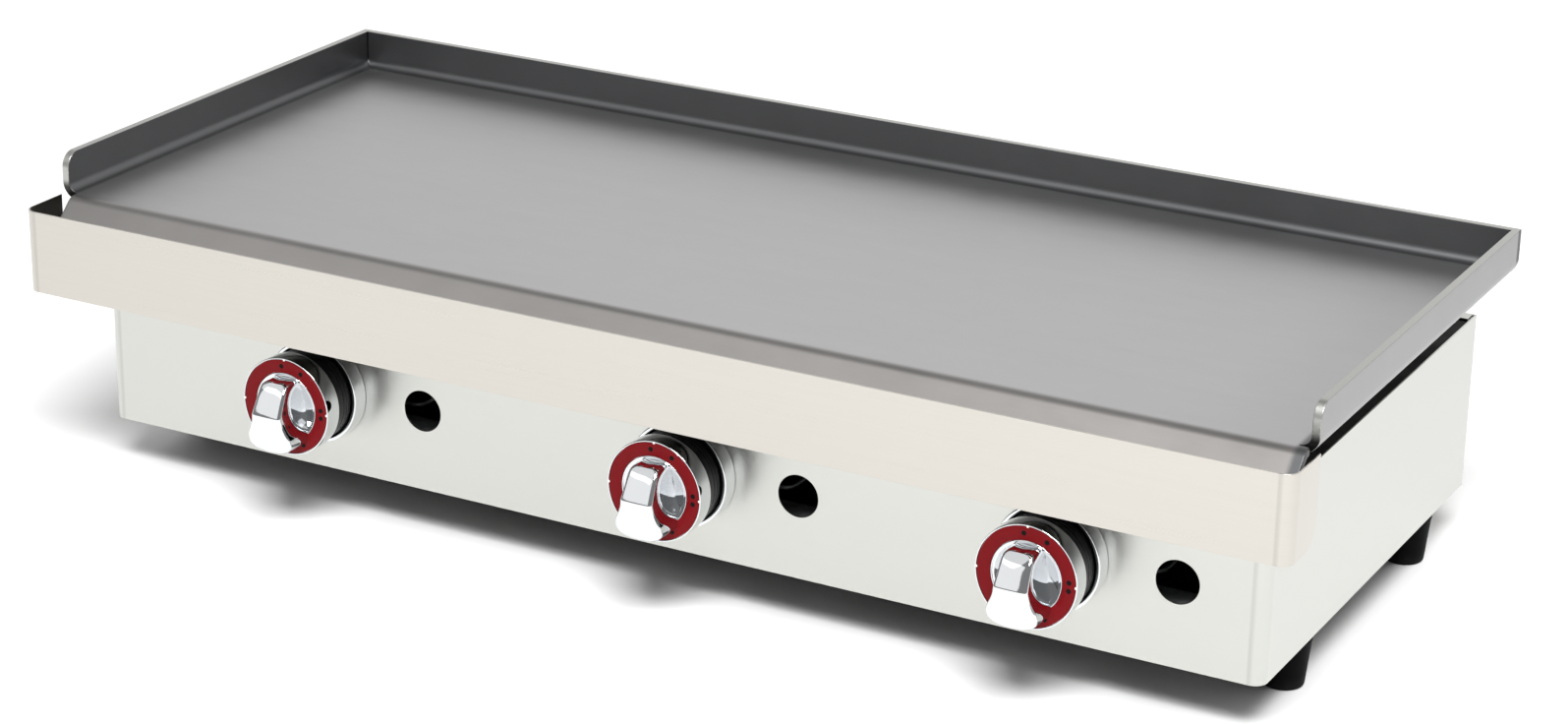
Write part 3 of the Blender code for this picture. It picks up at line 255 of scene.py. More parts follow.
def brushed(name, color, fineness, contrast, roughness, fold):
    """Stainless sheet brushed along its length, with painted shade in a darker band at the start of each fold
    at |x| = fold.
    """
    finish = Finish(name)
    hair = finish.noise((6.0, 6.0, 1400.0 * fineness), 3.0, 0.65)
    band = finish.noise((1.2, 1.2, 120.0 * fineness), 2.0)
    cloud = finish.noise(4.0, 2.0)
    # painted shade: a darker band just before each fold
    off = abs(finish.x) - fold
    fold_shade = off.rise(-0.0022, -0.0004) * (1 - off.rise(0.0, 0.003))
    tone = 1.0 - contrast * 0.5 + contrast * (0.6 * hair + 0.25 * band + 0.15 * cloud) - 0.14 * fold_shade
    rough = roughness - 0.05 + 0.08 * hair + 0.04 * band
    return finish.surface(finish.shaded(color, tone), rough, 1.0, hair, 0.00002, 0.35)


def drawer_stainless():
    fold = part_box("drawer_front")[1].x - bpy.context.scene.griddle_drawer.bend
    return brushed("brushed_stainless", tones().drawer, 1.0, 0.12, 0.28, fold)


def greasy_steel():
    """The drawer's inside: painted shade under the lip makes it near black, mottled like a film of baked fat.
    """
    finish = Finish("greasy_steel")
    film = finish.noise((14.0, 30.0, 40.0), 4.0, 0.6)
    drip = finish.noise((90.0, 90.0, 12.0), 2.0)
    # painted shade: both tones are near black for the shade inside the drawer
    color = finish.mix(film.rise(0.3, 0.75), (0.050, 0.046, 0.040), (0.012, 0.009, 0.006))
    color = finish.shaded(color, 0.8 + 0.4 * drip)
    return finish.surface(color, 0.25 + 0.2 * film, 0.6, film, 0.0002, 0.4)


def panel_stainless():
    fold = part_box("body_shell")[1].x - bpy.context.scene.griddle_body.bend
    return brushed("panel_stainless", tones().panel, 0.8, 0.05, 0.32, fold)


def galvanised():
    """Zinc-coated sheet with a faint spangle."""
    finish = Finish("galvanised")
    spangle = finish.cells(90.0)
    dust = finish.noise(24.0, 3.0)
    color = finish.shaded(tones().zinc, 0.82 + 0.2 * spangle + 0.12 * dust)
    return finish.surface(color, 0.36 + 0.14 * spangle + 0.1 * dust, 1.0, dust, 0.00005, 0.3)


def smoked_zinc():
    """Zinc-coated sheet painted near black as the shade inside the body, mottled like soot."""
    finish = Finish("smoked_zinc")
    spangle = finish.cells(80.0)
    soot_shade = finish.noise(14.0, 4.0, 0.6)
    # painted shade: both tones are near black so the inside looks dark through the holes and gaps
    color = finish.mix(soot_shade.rise(0.25, 0.75), (0.030, 0.028, 0.026), (0.006, 0.0055, 0.005))
    color = finish.shaded(color, 0.85 + 0.3 * spangle)
    return finish.surface(color, 0.60 + 0.25 * soot_shade, 0.3, soot_shade, 0.0001, 0.4,
                          {"Specular IOR Level": 0.15})


def burner_steel():
    """Stainless tube with the straw, purple and blue tints of heat."""
    finish = Finish("burner_steel")
    heat = finish.noise((9.0, 16.0, 9.0), 3.0)
    line = finish.noise((500.0, 30.0, 500.0), 2.0)
    tint = finish.value("ShaderNodeValToRGB", {"stops": (
        (0.25, (0.34, 0.33, 0.31, 1.0)), (0.42, (0.33, 0.24, 0.15, 1.0)),
        (0.55, (0.17, 0.10, 0.13, 1.0)), (0.72, (0.09, 0.11, 0.16, 1.0)))}, {0: heat})
    color = finish.shaded(tint, 0.85 + 0.25 * line)
    return finish.surface(color, 0.32 + 0.15 * heat, 1.0, line, 0.00003, 0.4)


def machined_brass():
    """Brass with tool lines and a little tarnish."""
    finish = Finish("machined_brass")
    tarnish = finish.noise(60.0, 4.0, 0.6)
    lines = finish.noise((300.0, 1500.0, 300.0), 1.0)
    color = finish.mix(tarnish.rise(0.35, 0.8), (0.74, 0.56, 0.27), (0.46, 0.30, 0.13))
    return finish.surface(color, 0.22 + 0.2 * tarnish, 1.0, lines, 0.00003, 0.4)


def chrome():
    """Bright plating with faint wipe marks."""
    finish = Finish("chrome")
    wipe = finish.noise((120.0, 120.0, 40.0), 3.0)
    speck = finish.noise(900.0, 1.0)
    color = finish.shaded(tones().chrome, 0.97 + 0.05 * wipe)
    return finish.surface(color, 0.03 + 0.05 * wipe, 1.0, speck, 0.000004, 0.3)


def dial_red():
    """Red lacquered ring with a fine metallic fleck."""
    finish = Finish("red_dial")
    fleck = finish.noise(2600.0, 1.0)
    wear = finish.noise(140.0, 3.0)
    color = finish.shaded(tones().dial, 0.82 + 0.25 * fleck + 0.12 * wear)
    return finish.surface(color, 0.30 + 0.12 * wear, 0.0, fleck, 0.00002, 0.4,
                          {"Specular IOR Level": 0.12})


def print_black():
    finish = Finish("print_black")
    fade = finish.noise(900.0, 2.0)
    return finish.surface(finish.shaded((0.004, 0.003, 0.003), 0.7 + 0.6 * fade), 0.55 + 0.1 * fade, 0.0,
                          more={"Specular IOR Level": 0.1})


def print_white():
    finish = Finish("print_white")
    fade = finish.noise(900.0, 2.0)
    return finish.surface(finish.shaded((0.85, 0.84, 0.82), 0.9 + 0.15 * fade), 0.35 + 0.1 * fade, 0.0)


def black_plastic():
    """Moulded black plastic with a fine grain."""
    finish = Finish("black_plastic")
    grain = finish.noise(1800.0, 2.0)
    cloud = finish.noise(50.0, 2.0)
    color = finish.shaded(tones().black, 0.8 + 0.4 * cloud)
    return finish.surface(color, 0.30 + 0.12 * grain, 0.0, grain, 0.00004, 0.5,
                          {"Specular IOR Level": 0.25})


def foot_rubber():
    """Dull black rubber, a little dusty near the floor."""
    finish = Finish("foot_rubber")
    grain = finish.noise(1200.0, 3.0)
    dust = (1 - finish.z.rise(0.0, 0.012)) * finish.noise(200.0, 3.0)
    color = finish.mix(dust * 0.5, (0.004, 0.004, 0.0045), (0.03, 0.029, 0.028))
    return finish.surface(color, 0.45 + 0.2 * grain, 0.0, grain, 0.0001, 0.5,
                          {"Specular IOR Level": 0.03})


def studio_floor():
    finish = Finish("studio_floor")
    cloud = finish.noise(0.6, 2.0)
    color = finish.shaded(bpy.context.scene.griddle_studio.floor, 0.985 + 0.03 * cloud)
    return finish.surface(color, 0.85, 0.0, more={"Specular IOR Level": 0.1})


FINISHES = {maker.__name__: maker for maker in (
    plate_steel, cut_edge_steel, drawer_stainless, greasy_steel, panel_stainless, galvanised, smoked_zinc,
    burner_steel, machined_brass, chrome, dial_red, print_black, print_white, black_plastic,
    foot_rubber, studio_floor)}
MADE = {}


def finish_of(name):
    """The finish of this name, made when it is first asked for."""
    if name not in MADE:
        MADE[name] = FINISHES[name]()
    return MADE[name]


# ---- Shapes ----

def arc(centre, radius, start, end, steps):
    """Points on an arc in a plane, with both ends."""
    points = []
    for i in range(steps + 1):
        angle = start + (end - start) * i / steps
        points.append((centre[0] + radius * math.cos(angle), centre[1] + radius * math.sin(angle)))
    return points


def filleted(corners, steps=4):
    """A closed outline of (x, y, fillet radius) corners, with its fillets as points."""
    outline = []
    for i, (x, y, radius) in enumerate(corners):
        corner = Vector((x, y))
        before = Vector(corners[i - 1][:2]) - corner
        after = Vector(corners[(i + 1) % len(corners)][:2]) - corner
        if radius == 0:
            outline.append((x, y))
            continue
        reach = radius / math.tan(before.angle(after) / 2)
        first = corner + before.normalized() * reach
        last = corner + after.normalized() * reach
        for j in range(steps + 1):
            t = j / steps
            point = first * (1 - t) ** 2 + corner * 2 * t * (1 - t) + last * t ** 2
            outline.append(tuple(point))
    return outline


def folded(low, high, radius, inset=0.0):
    """Plan of a sheet folded back round both front corners, from right to left."""
    side = high.x - radius
    bend = radius - inset
    return ([(high.x - inset, high.y)]
            + arc((side, low.y + radius), bend, 0, -math.pi / 2, FOLD_STEPS)
            + arc((-side, low.y + radius), bend, -math.pi / 2, -math.pi, FOLD_STEPS)
            + [(inset - high.x, high.y)])


def add_strip(bm, profile, place, stations):
    """Faces of a folded sheet: a profile repeated at each station."""
    rows = [[bm.verts.new(place(point, station)) for station in stations] for point in profile]
    for a, b in zip(rows, rows[1:]):
        for i in range(len(stations) - 1):
            bm.faces.new((a[i], a[i + 1], b[i + 1], b[i]))


def add_prism(bm, outline, place, low, high):
    """Extrude a closed outline; place(point, level) gives a corner in space."""
    bottom = [bm.verts.new(place(point, low)) for point in outline]
    top = [bm.verts.new(place(point, high)) for point in outline]
    bm.faces.new(bottom)
    bm.faces.new(top)
    for i in range(len(outline)):
        j = (i + 1) % len(outline)
        bm.faces.new((bottom[i], bottom[j], top[j], top[i]))


def add_turned(bm, profile, steps, centre, axis="Y"):
    """Turn a closed profile of (radius, distance) about an axis through the centre.

    The distance is measured towards -Y, or towards +Z.
    """
    rings = []
    for radius, distance in profile:
        ring = []
        for i in range(steps):
            angle = FULL_TURN * i / steps
            u, v = radius * math.cos(angle), radius * math.sin(angle)
            offset = (u, -distance, v) if axis == "Y" else (u, v, distance)
            ring.append(bm.verts.new(Vector(centre) + Vector(offset)))
        rings.append(ring)
    for a, b in zip(rings, rings[1:] + rings[:1]):
        for i in range(steps):
            j = (i + 1) % steps
            bm.faces.new((a[i], a[j], b[j], b[i]))
    bmesh.ops.remove_doubles(bm, verts=bm.verts, dist=MERGE)


def add_rod(bm, start, end, radius, steps):
    """A closed straight rod."""
    start, end = Vector(start), Vector(end)
    axis = end - start
    matrix = Matrix.Translation((start + end) / 2) @ axis.to_track_quat("Z", "Y").to_matrix().to_4x4()
    bmesh.ops.create_cone(bm, cap_ends=True, segments=steps, radius1=radius, radius2=radius,
                          depth=axis.length, matrix=matrix)


def add_box(bm, low, high):
    """A closed box between two corners."""
    size = [b - a for a, b in zip(low, high)]
    middle = [(a + b) / 2 for a, b in zip(low, high)]
    bmesh.ops.create_cube(bm, size=1.0, matrix=Matrix.Translation(middle) @ Matrix.Diagonal((*size, 1.0)))


def along_z(point, level):
    return (point[0], point[1], level)


def along_x(point, level):
    return (level, point[0], point[1])


def smooth(mesh, sharp=35.0):
    """Shade a mesh smooth but for its sharp edges."""
    mesh.shade_smooth()
    mesh.set_sharp_from_angle(angle=math.radians(sharp))


def piece_of(name, bm, finishes, outwards=True, sharp=35.0):
    """An object at the origin from a bmesh, shaded smooth but for its sharp edges."""
    if outwards:
        bmesh.ops.recalc_face_normals(bm, faces=bm.faces)
    mesh = bpy.data.meshes.new(name)
    bm.to_mesh(mesh)
    bm.free()
    for finish in finishes:
        mesh.materials.append(finish_of(finish))
    smooth(mesh, sharp)
    piece = bpy.data.objects.new(name, mesh)
    bpy.context.scene.collection.objects.link(piece)
    return piece


def turned(name, profile, steps, centre, finishes, axis="Y"):
    """A piece turned from a closed profile about an axis."""
    bm = bmesh.new()
    add_turned(bm, profile, steps, centre, axis)
    return piece_of(name, bm, finishes)


def add_wall(piece, thickness, outwards=False, rim=0, inside=0):
    """Thicken a sheet on the side its faces point away from, or towards."""
    wall = piece.modifiers.new("wall", "SOLIDIFY")
    wall.thickness = thickness
    wall.offset = 1.0 if outwards else -1.0
    wall.use_even_offset = True
    wall.material_offset_rim = rim
    wall.material_offset = inside


def round_edges(piece, width, segments=2, sharp=40.0):
    """Round every edge that is sharper than an angle in degrees."""
    edges = piece.modifiers.new("edges", "BEVEL")
    edges.width = width
    edges.segments = segments
    edges.limit_method = "ANGLE"
    edges.angle_limit = math.radians(sharp)
    edges.harden_normals = True


def cut(piece, bm):
    """Subtract a closed shape from a piece. The cutter is removed when the piece is settled."""
    bmesh.ops.recalc_face_normals(bm, faces=bm.faces)
    mesh = bpy.data.meshes.new(piece.name + "_cutter")
    bm.to_mesh(mesh)
    bm.free()
    cutter = bpy.data.objects.new(mesh.name, mesh)
    bpy.context.scene.collection.objects.link(cutter)
    hole = piece.modifiers.new("cut", "BOOLEAN")
    hole.operation = "DIFFERENCE"
    hole.object = cutter


def settle(piece, body, slot, *nodes):
    """Apply a piece's modifiers, then hand it to the frame in place of CAD nodes."""
    bpy.context.view_layer.update()
    graph = bpy.context.evaluated_depsgraph_get()
    mesh = bpy.data.meshes.new_from_object(piece.evaluated_get(graph), depsgraph=graph)
    helpers = [m.object for m in piece.modifiers if m.type == "BOOLEAN"]
    piece.modifiers.clear()
    piece.data = mesh
    for helper in helpers:
        bpy.data.objects.remove(helper)
    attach(piece, body)
    if nodes:
        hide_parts(*nodes)
    return piece


def middle_of(node):
    """Centre of a CAD node's box."""
    low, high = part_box(node)
    return (low + high) / 2


def formed(node, finish, slot, width=0.0003, body="chassis"):
    """A CAD node's shape with its flat faces joined and its edges rounded."""
    bm = bmesh.new()
    bm.from_mesh(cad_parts[node].data)
    bmesh.ops.remove_doubles(bm, verts=bm.verts, dist=1e-6)
    bmesh.ops.dissolve_limit(bm, angle_limit=math.radians(1.0), verts=bm.verts, edges=bm.edges)
    piece = piece_of(node + "_formed", bm, [finish], outwards=False)
    round_edges(piece, width)
    return settle(piece, body, slot, node)


# ---- Geometry Nodes ----

def node_modifier(piece, name, sockets, build):
    """Run a node tree with named inputs on a piece, and keep the plain mesh."""
    group = bpy.data.node_groups.new(name, "GeometryNodeTree")
    interface = group.interface
    for way in ("INPUT", "OUTPUT"):
        interface.new_socket("Geometry", in_out=way, socket_type="NodeSocketGeometry")
    keys = {}
    for label, (kind, value) in sockets.items():
        socket = interface.new_socket(label, in_out="INPUT", socket_type="NodeSocket" + kind)
        keys[socket.identifier] = value
    tree = Tree(group)
    entry = tree.node("NodeGroupInput")
    given = {socket.name: Value(tree, socket) for socket in entry.outputs if socket.name}
    result = build(tree, given)
    real = tree.value("GeometryNodeRealizeInstances", None, {0: result})
    done = tree.value("GeometryNodeSetMaterial", None, {"Geometry": real, "Material": given["Finish"]})
    tree.node("NodeGroupOutput", None, {0: done})
    modifier = piece.modifiers.new(name, "NODES")
    modifier.node_group = group
    for key, value in keys.items():
        modifier[key] = value


def tube_nodes(tree, given):
    """A round tube along the edges of a mesh, with its bends filleted."""
    line = tree.value("GeometryNodeMeshToCurve", None, {0: given["Geometry"]})
    bent = tree.value("GeometryNodeFilletCurve", {"mode": "POLY"}, {
        "Curve": line, "Count": given["Bend Steps"], "Radius": given["Bend Radius"]})
    section = tree.value("GeometryNodeCurvePrimitiveCircle", None, {
        "Resolution": given["Sides"], "Radius": given["Radius"]})
    return tree.value("GeometryNodeCurveToMesh", None, {
        "Curve": bent, "Profile Curve": section, "Fill Caps": True})


def stud_nodes(tree, given):
    """The same small stud at every vertex of a mesh."""
    points = tree.value("GeometryNodeMeshToPoints", None, {0: given["Geometry"]})
    stud = tree.value("GeometryNodeObjectInfo", None, {"Object": given["Stud"]}, "Geometry")
    return tree.value("GeometryNodeInstanceOnPoints", None, {"Points": points, "Instance": stud})


def tube_piece(name, path, radius, bend, finish, sides=32, bend_steps=16):
    """A tube that follows a path of straight runs, not settled yet."""
    bm = bmesh.new()
    points = [bm.verts.new(point) for point in path]
    for a, b in zip(points, points[1:]):
        bm.edges.new((a, b))
    piece = piece_of(name, bm, [finish])
    node_modifier(piece, "tube_on_path", {
        "Radius": ("Float", radius), "Bend Radius": ("Float", bend), "Bend Steps": ("Int", bend_steps),
        "Sides": ("Int", sides), "Finish": ("Material", finish_of(finish))}, tube_nodes)
    return piece


def add_studs(name, places, profile, steps, finish, body, slot):
    """Settle one piece of copies of a small turned stud at a list of places."""
    stud = turned(name + "_stud", profile, steps, (0, 0, 0), [finish])
    bm = bmesh.new()
    for place in places:
        bm.verts.new(place)
    piece = piece_of(name, bm, [finish])
    node_modifier(piece, "studs_at_points", {
        "Stud": ("Object", stud), "Finish": ("Material", finish_of(finish))}, stud_nodes)
    settle(piece, body, slot)
    bpy.data.objects.remove(stud)
    smooth(piece.data)


# ---- Sizes and colours ----

def length(name, description, default):
    return FloatProperty(name=name, description=description, default=default, min=0.0,
                         unit="LENGTH", precision=4)


def color(name, description, default):
    return FloatVectorProperty(name=name, description=description, default=default, size=3,
                               subtype="COLOR", min=0.0, max=1.0)


def power(name, description, default):
    return FloatProperty(name=name, description=description, default=default, min=0.0, unit="POWER")


class GriddlePlateSizes(bpy.types.PropertyGroup):
    """Sizes of the folded cooking plate."""

    thickness: length("Thickness", "Plate's sheet thickness", 0.006)
    upstand: length("Upstand", "Height of the upstands above the cooking surface", 0.0294)
    bend: length("Bend", "Inner radius of the upstands' bends", 0.007)
    corner: length("Corner", "Rounded front corners of the side upstands", 0.012)
    # painted shade: this slit is not cut in the sheet, it is only painted as a dark band
    seam: length("Seam", "Slit between the upstands in the rear corners", 0.0008)
    relief: length("Relief", "Notch between the lip and the side bends", 0.0015)
    side_start: length("Side start", "Where the side upstands start, behind the drawer's face", 0.0454)
    lip_start: length("Lip start", "Where the lip starts to bend, behind the drawer's face", 0.0425)
    lip_bend: length("Lip bend", "Outer radius of the lip's bend", 0.012)
    lip_length: length("Lip length", "Flat part of the lip", 0.027)
    lip_gap: length("Lip gap", "Right end of the lip to the drawer's wing", 0.0063)
    edge: length("Edge", "Rounding of the plate's edges", 0.0006)


class GriddleDrawerSizes(bpy.types.PropertyGroup):
    """Sizes of the grease drawer's front."""

    sheet: length("Sheet", "Sheet thickness", 0.0012)
    bend: length("Bend", "Outer radius of the front's corners", 0.010)
    wing_corner: length("Wing corner", "Rounded lower corner of each wing", 0.018)
    edge: length("Edge", "Rounding of the sheet's edges", 0.0003)


class GriddleBodySizes(bpy.types.PropertyGroup):
    """Sizes of the body casing."""

    sheet: length("Sheet", "Sheet thickness", 0.0012)
    bend: length("Bend", "Outer radius of the body's front corners", 0.010)
    sight_hole: length("Sight hole", "Radius of the sight holes", 0.0156)
    shaft_hole: length("Shaft hole", "Radius of the spindles' holes", 0.011)
    edge: length("Edge", "Rounding of the sheet's edges", 0.0003)


class GriddleKnobSizes(bpy.types.PropertyGroup):
    """Sizes of the control knobs."""

    band: length("Band", "Depth of the chrome band", 0.0147)
    collar: length("Collar", "Depth of the black collar", 0.0190)
    wall: length("Wall", "Wall of the chrome cap", 0.0025)
    rim: length("Rim", "Width of the chrome rim", 0.0010)
    dial_inner: length("Dial inner radius", "Inner radius of the red dial", 0.0258)
    dial_recess: length("Dial recess", "Dial's seat behind the rim", 0.0014)
    dish_edge: length("Dish edge", "Chrome edge between the dish and the dial", 0.0012)
    dish_depth: length("Dish depth", "Depth of the dish below the dial's seat", 0.0075)
    grip_rise: length("Grip rise", "Grip's ridge in front of the rim", 0.0255)
    grip_round: length("Grip rounding", "Rounded edges of the grip", 0.0026)
    steps: IntProperty(name="Steps", description="Sides of the turned parts", default=96, min=12)


class GriddleBaySizes(bpy.types.PropertyGroup):
    """Sizes of the pieces inside and under the body."""

    burner: length("Burner", "Radius of the burner tubes", 0.018)
    port: length("Port", "Length of a burner port across the tube", 0.014)
    port_pitch: length("Port pitch", "Distance from port to port", 0.009)
    venturi: length("Venturi", "Length of the burner's mouth, up to its full tube", 0.038)
    tip_setback: length("Tip setback", "Burner's mouth to its closed end", 0.060)
    pipe_bend: length("Pipe bend", "Bend radius of the manifold pipe", 0.025)
    screw: length("Screw", "Radius of the screw heads", 0.0036)


class GriddleFinishes(bpy.types.PropertyGroup):
    """Colours of the finishes."""

    plate: color("Plate", "Cooking surface", (0.415, 0.413, 0.417))
    # painted shade: the lip's darker colour stands for the shade on its sloping face
    lip: color("Lip", "Front lip of the plate", (0.345, 0.331, 0.321))
    # painted shade: this darker colour stands for the shade on the upstands' inner faces
    upstand: color("Upstand", "Inner faces of the upstands", (0.135, 0.137, 0.14))
    cut_edge: color("Cut edge", "Ground edges of the plate", (0.46, 0.46, 0.44))
    drawer: color("Drawer", "Drawer's front", (0.528, 0.506, 0.466))
    panel: color("Panel", "Body's sides and front", (0.555, 0.560, 0.530))
    zinc: color("Zinc", "Zinc-coated sheet", (0.50, 0.52, 0.53))
    chrome: color("Chrome", "Plating of the knobs", (0.72, 0.735, 0.75))
    dial: color("Dial", "Red ring of the knobs", (0.145, 0.0012, 0.0035))
    black: color("Black", "Black plastic of the knobs", (0.004, 0.004, 0.0045))


class GriddleStudio(bpy.types.PropertyGroup):
    """Floor, light and camera."""

    floor: color("Floor", "Floor colour", (0.93, 0.93, 0.93))
    side_light: power("Side light", "Power of the dim softbox at front left", 14.0)
    low_light: power("Low light", "Power of the dim softbox low at front left", 7.0)
    key_light: power("Key light", "Power of the softbox high in front", 610.0)
    lens: FloatProperty(name="Lens", description="Camera's focal length in millimetres",
                        default=84.84, min=1.0)


# ---- Griddle plate ----

class GRIDDLE_OT_plate(bpy.types.Operator):
    """Make the folded cooking plate with its upstands and sloping lip"""

    bl_idname = "griddle.plate"
    bl_label = "Plate"

    def execute(self, context):
        sizes = context.scene.griddle_plate
        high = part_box("griddle_plate")[1]
        front_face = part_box("drawer_front")[0].y
        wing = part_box("drawer_front")[1].x - context.scene.griddle_drawer.sheet
        top = high.z
        cook = top - sizes.upstand
        upstand_x = high.x - sizes.thickness
        bend_x = upstand_x - sizes.bend
        bend_y = high.y - sizes.thickness - sizes.bend
        rear = high.y
        side_front = front_face + sizes.side_start
        base_front = side_front - sizes.relief
        bm = bmesh.new()
        add_strip(bm, [(base_front, cook), (side_front, cook), (bend_y, cook)], along_x, (bend_x, -bend_x))
        bend = arc((0.0, sizes.bend), sizes.bend, -math.pi / 2, 0, FOLD_STEPS)
        upstand = bend[-1:] + [(sizes.bend, sizes.upstand)]

        def back(point, station):
            """The rear bend and upstand; a station beyond 1 is on the mitred corner."""
            x = bend_x + point[0] if abs(station) > 1 else bend_x
            return (math.copysign(x, station), bend_y + point[0], cook + point[1])

        for profile in (bend, upstand):
            add_strip(bm, profile, back, (2, 1, -1, -2))
        for side in (-1, 1):
            def beside(point, station, side=side):
                y = bend_y + point[0] if station == rear else station
                return (side * (bend_x + point[0]), y, cook + point[1])

            for profile in (bend, upstand):
                add_strip(bm, profile, beside, (side_front, bend_y, rear)[::side])
        lip_y = front_face + sizes.lip_start
        angle = math.radians(LIP_ANGLE)
        lip = [(base_front, cook)]
        lip += arc((lip_y, cook - sizes.lip_bend), sizes.lip_bend, math.pi / 2, math.pi / 2 + angle,
                   FOLD_STEPS)
        lip.append((lip[-1][0] - sizes.lip_length * math.cos(angle),
                    lip[-1][1] - sizes.lip_length * math.sin(angle)))
        add_strip(bm, lip, along_x, (-bend_x, bend_x, wing - sizes.lip_gap))
        bmesh.ops.remove_doubles(bm, verts=bm.verts, dist=MERGE)
        corners = [v for v in bm.verts if abs(v.co.y - side_front) < MERGE and abs(v.co.z - top) < MERGE]
        bmesh.ops.bevel(bm, geom=corners, offset=sizes.corner, segments=8, profile=0.5,
                        affect="VERTICES")
        piece = piece_of("plate_sheet", bm, ["plate_steel", "cut_edge_steel"], outwards=False)
        add_wall(piece, sizes.thickness, outwards=True, rim=1)
        round_edges(piece, sizes.edge)
        settle(piece, "chassis", "plate_steel", "griddle_plate")
        return {"FINISHED"}


# ---- Grease drawer ----

class GRIDDLE_OT_drawer(bpy.types.Operator):
    """Make the grease drawer's front with its wings, and finish its trough and arms"""

    bl_idname = "griddle.drawer"
    bl_label = "Grease drawer"

    def execute(self, context):
        sizes = context.scene.griddle_drawer
        low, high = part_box("drawer_front")
        bm = bmesh.new()
        add_strip(bm, folded(low, high, sizes.bend), along_z, (low.z, high.z))
        corners = [v for v in bm.verts if abs(v.co.y - high.y) < MERGE and abs(v.co.z - low.z) < MERGE]
        bmesh.ops.bevel(bm, geom=corners, offset=sizes.wing_corner, segments=10, profile=0.5,
                        affect="VERTICES")
        piece = piece_of("drawer_face", bm, ["drawer_stainless", "greasy_steel"], outwards=False)
        # painted shade: the front's inner faces get the near-black finish
        add_wall(piece, sizes.sheet, inside=1)
        round_edges(piece, sizes.edge)
        settle(piece, "drawer", "brushed_stainless", "drawer_front")
        # painted shade: the trough gets the near-black finish
        formed("drawer_trough", "greasy_steel", "brushed_stainless", body="drawer")
        for side in ("left", "right"):
            formed("drawer_arm_" + side, "galvanised", "galvanised", body="drawer")
        return {"FINISHED"}


# ---- Body ----

class GRIDDLE_OT_body(bpy.types.Operator):
    """Make the body casing with its shaft and sight holes"""

    bl_idname = "griddle.body"
    bl_label = "Body"

    def execute(self, context):
        sizes = context.scene.griddle_body
        low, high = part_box("body_shell")
        outline = folded(low, high, sizes.bend) + folded(low, high, sizes.bend, sizes.sheet)[::-1]
        bm = bmesh.new()
        add_prism(bm, outline, along_z, low.z, high.z)
        piece = piece_of("body_casing", bm, ["panel_stainless"])
        holes = bmesh.new()
        for number in KNOBS:
            knob = middle_of("bezel_" + number)
            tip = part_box("burner_" + number)
            sight_x = tip[1].x - context.scene.griddle_bay.burner
            sight_z = knob.z - 0.0013
            for x, z, hole in ((knob.x, knob.z, sizes.shaft_hole), (sight_x, sight_z, sizes.sight_hole)):
                add_rod(holes, (x, low.y - sizes.sheet, z), (x, low.y + 2 * sizes.sheet, z), hole, 64)
        cut(piece, holes)
        round_edges(piece, sizes.edge)
        settle(piece, "chassis", "panel_stainless", "body_shell")
        formed("rear_panel", "panel_stainless", "panel_stainless")
        return {"FINISHED"}


# ---- Knobs ----

# Sections of the grip from its top end down: height above the axis, half width
# and setback of the front from the ridge, as parts of the knob's radius
GRIP_LINE = (
    (0.600, 0.200, 0.360), (0.570, 0.262, 0.335), (0.520, 0.296, 0.290), (0.400, 0.312, 0.205),
    (0.200, 0.322, 0.098), (0.030, 0.334, 0.010), (0.000, 0.336, 0.002), (-0.030, 0.340, 0.004),
    (-0.150, 0.362, 0.022), (-0.290, 0.420, 0.046), (-0.420, 0.482, 0.070), (-0.540, 0.502, 0.094),
    (-0.640, 0.470, 0.115), (-0.710, 0.392, 0.134), (-0.760, 0.272, 0.155), (-0.785, 0.150, 0.180),
)


def grip_rows(radius, steps):
    """Points between the grip's sections, for a smooth side line."""
    rows = []
    line = [Vector(row) * radius for row in GRIP_LINE]
    for i in range(len(line) - 1):
        before = line[max(i - 1, 0)]
        a, b = line[i], line[i + 1]
        after = line[min(i + 2, len(line) - 1)]
        for j in range(steps):
            t = j / steps
            rows.append(0.5 * (2 * a + (b - before) * t + (2 * before - 5 * a + 4 * b - after) * t ** 2
                               + (3 * a - before - 3 * b + after) * t ** 3))
    rows.append(line[-1])
    return rows


def make_grip(number, centre, sizes, radius):
    """The chrome bar that fingers turn, rooted in the dish."""
    root = centre.y + sizes.dial_recess + sizes.dish_depth + 0.001
    crest = centre.y - sizes.grip_rise
    bm = bmesh.new()
    rows = []
    for height, half, setback in grip_rows(radius, 3):
        front = crest + setback
        edge = min(sizes.grip_round, half * 0.8)
        side = arc((half - edge, edge), edge, 0, -math.pi / 2, 6)
        section = [(half * 1.03, root), (half * 1.01, (root + front) / 2)]
        section += [(x, front + y) for x, y in side]
        crown = [(half * t, front - 0.0004 * (1 - t * t)) for t in (0.6, 0.3)]
        section += crown + [(0.0, front - 0.0004)]
        section += [(-x, y) for x, y in reversed(section[:-1])]
        rows.append([bm.verts.new((centre.x + x, y, centre.z + height)) for x, y in section])
    for a, b in zip(rows, rows[1:]):
        for i in range(len(a)):
            j = (i + 1) % len(a)
            bm.faces.new((a[i], a[j], b[j], b[i]))
    for row in (rows[0], rows[-1]):
        bm.faces.new(row)
    piece = piece_of("knob_grip_" + number, bm, ["chrome"], sharp=50.0)
    round_edges(piece, 0.0012, 3, 55.0)
    return piece


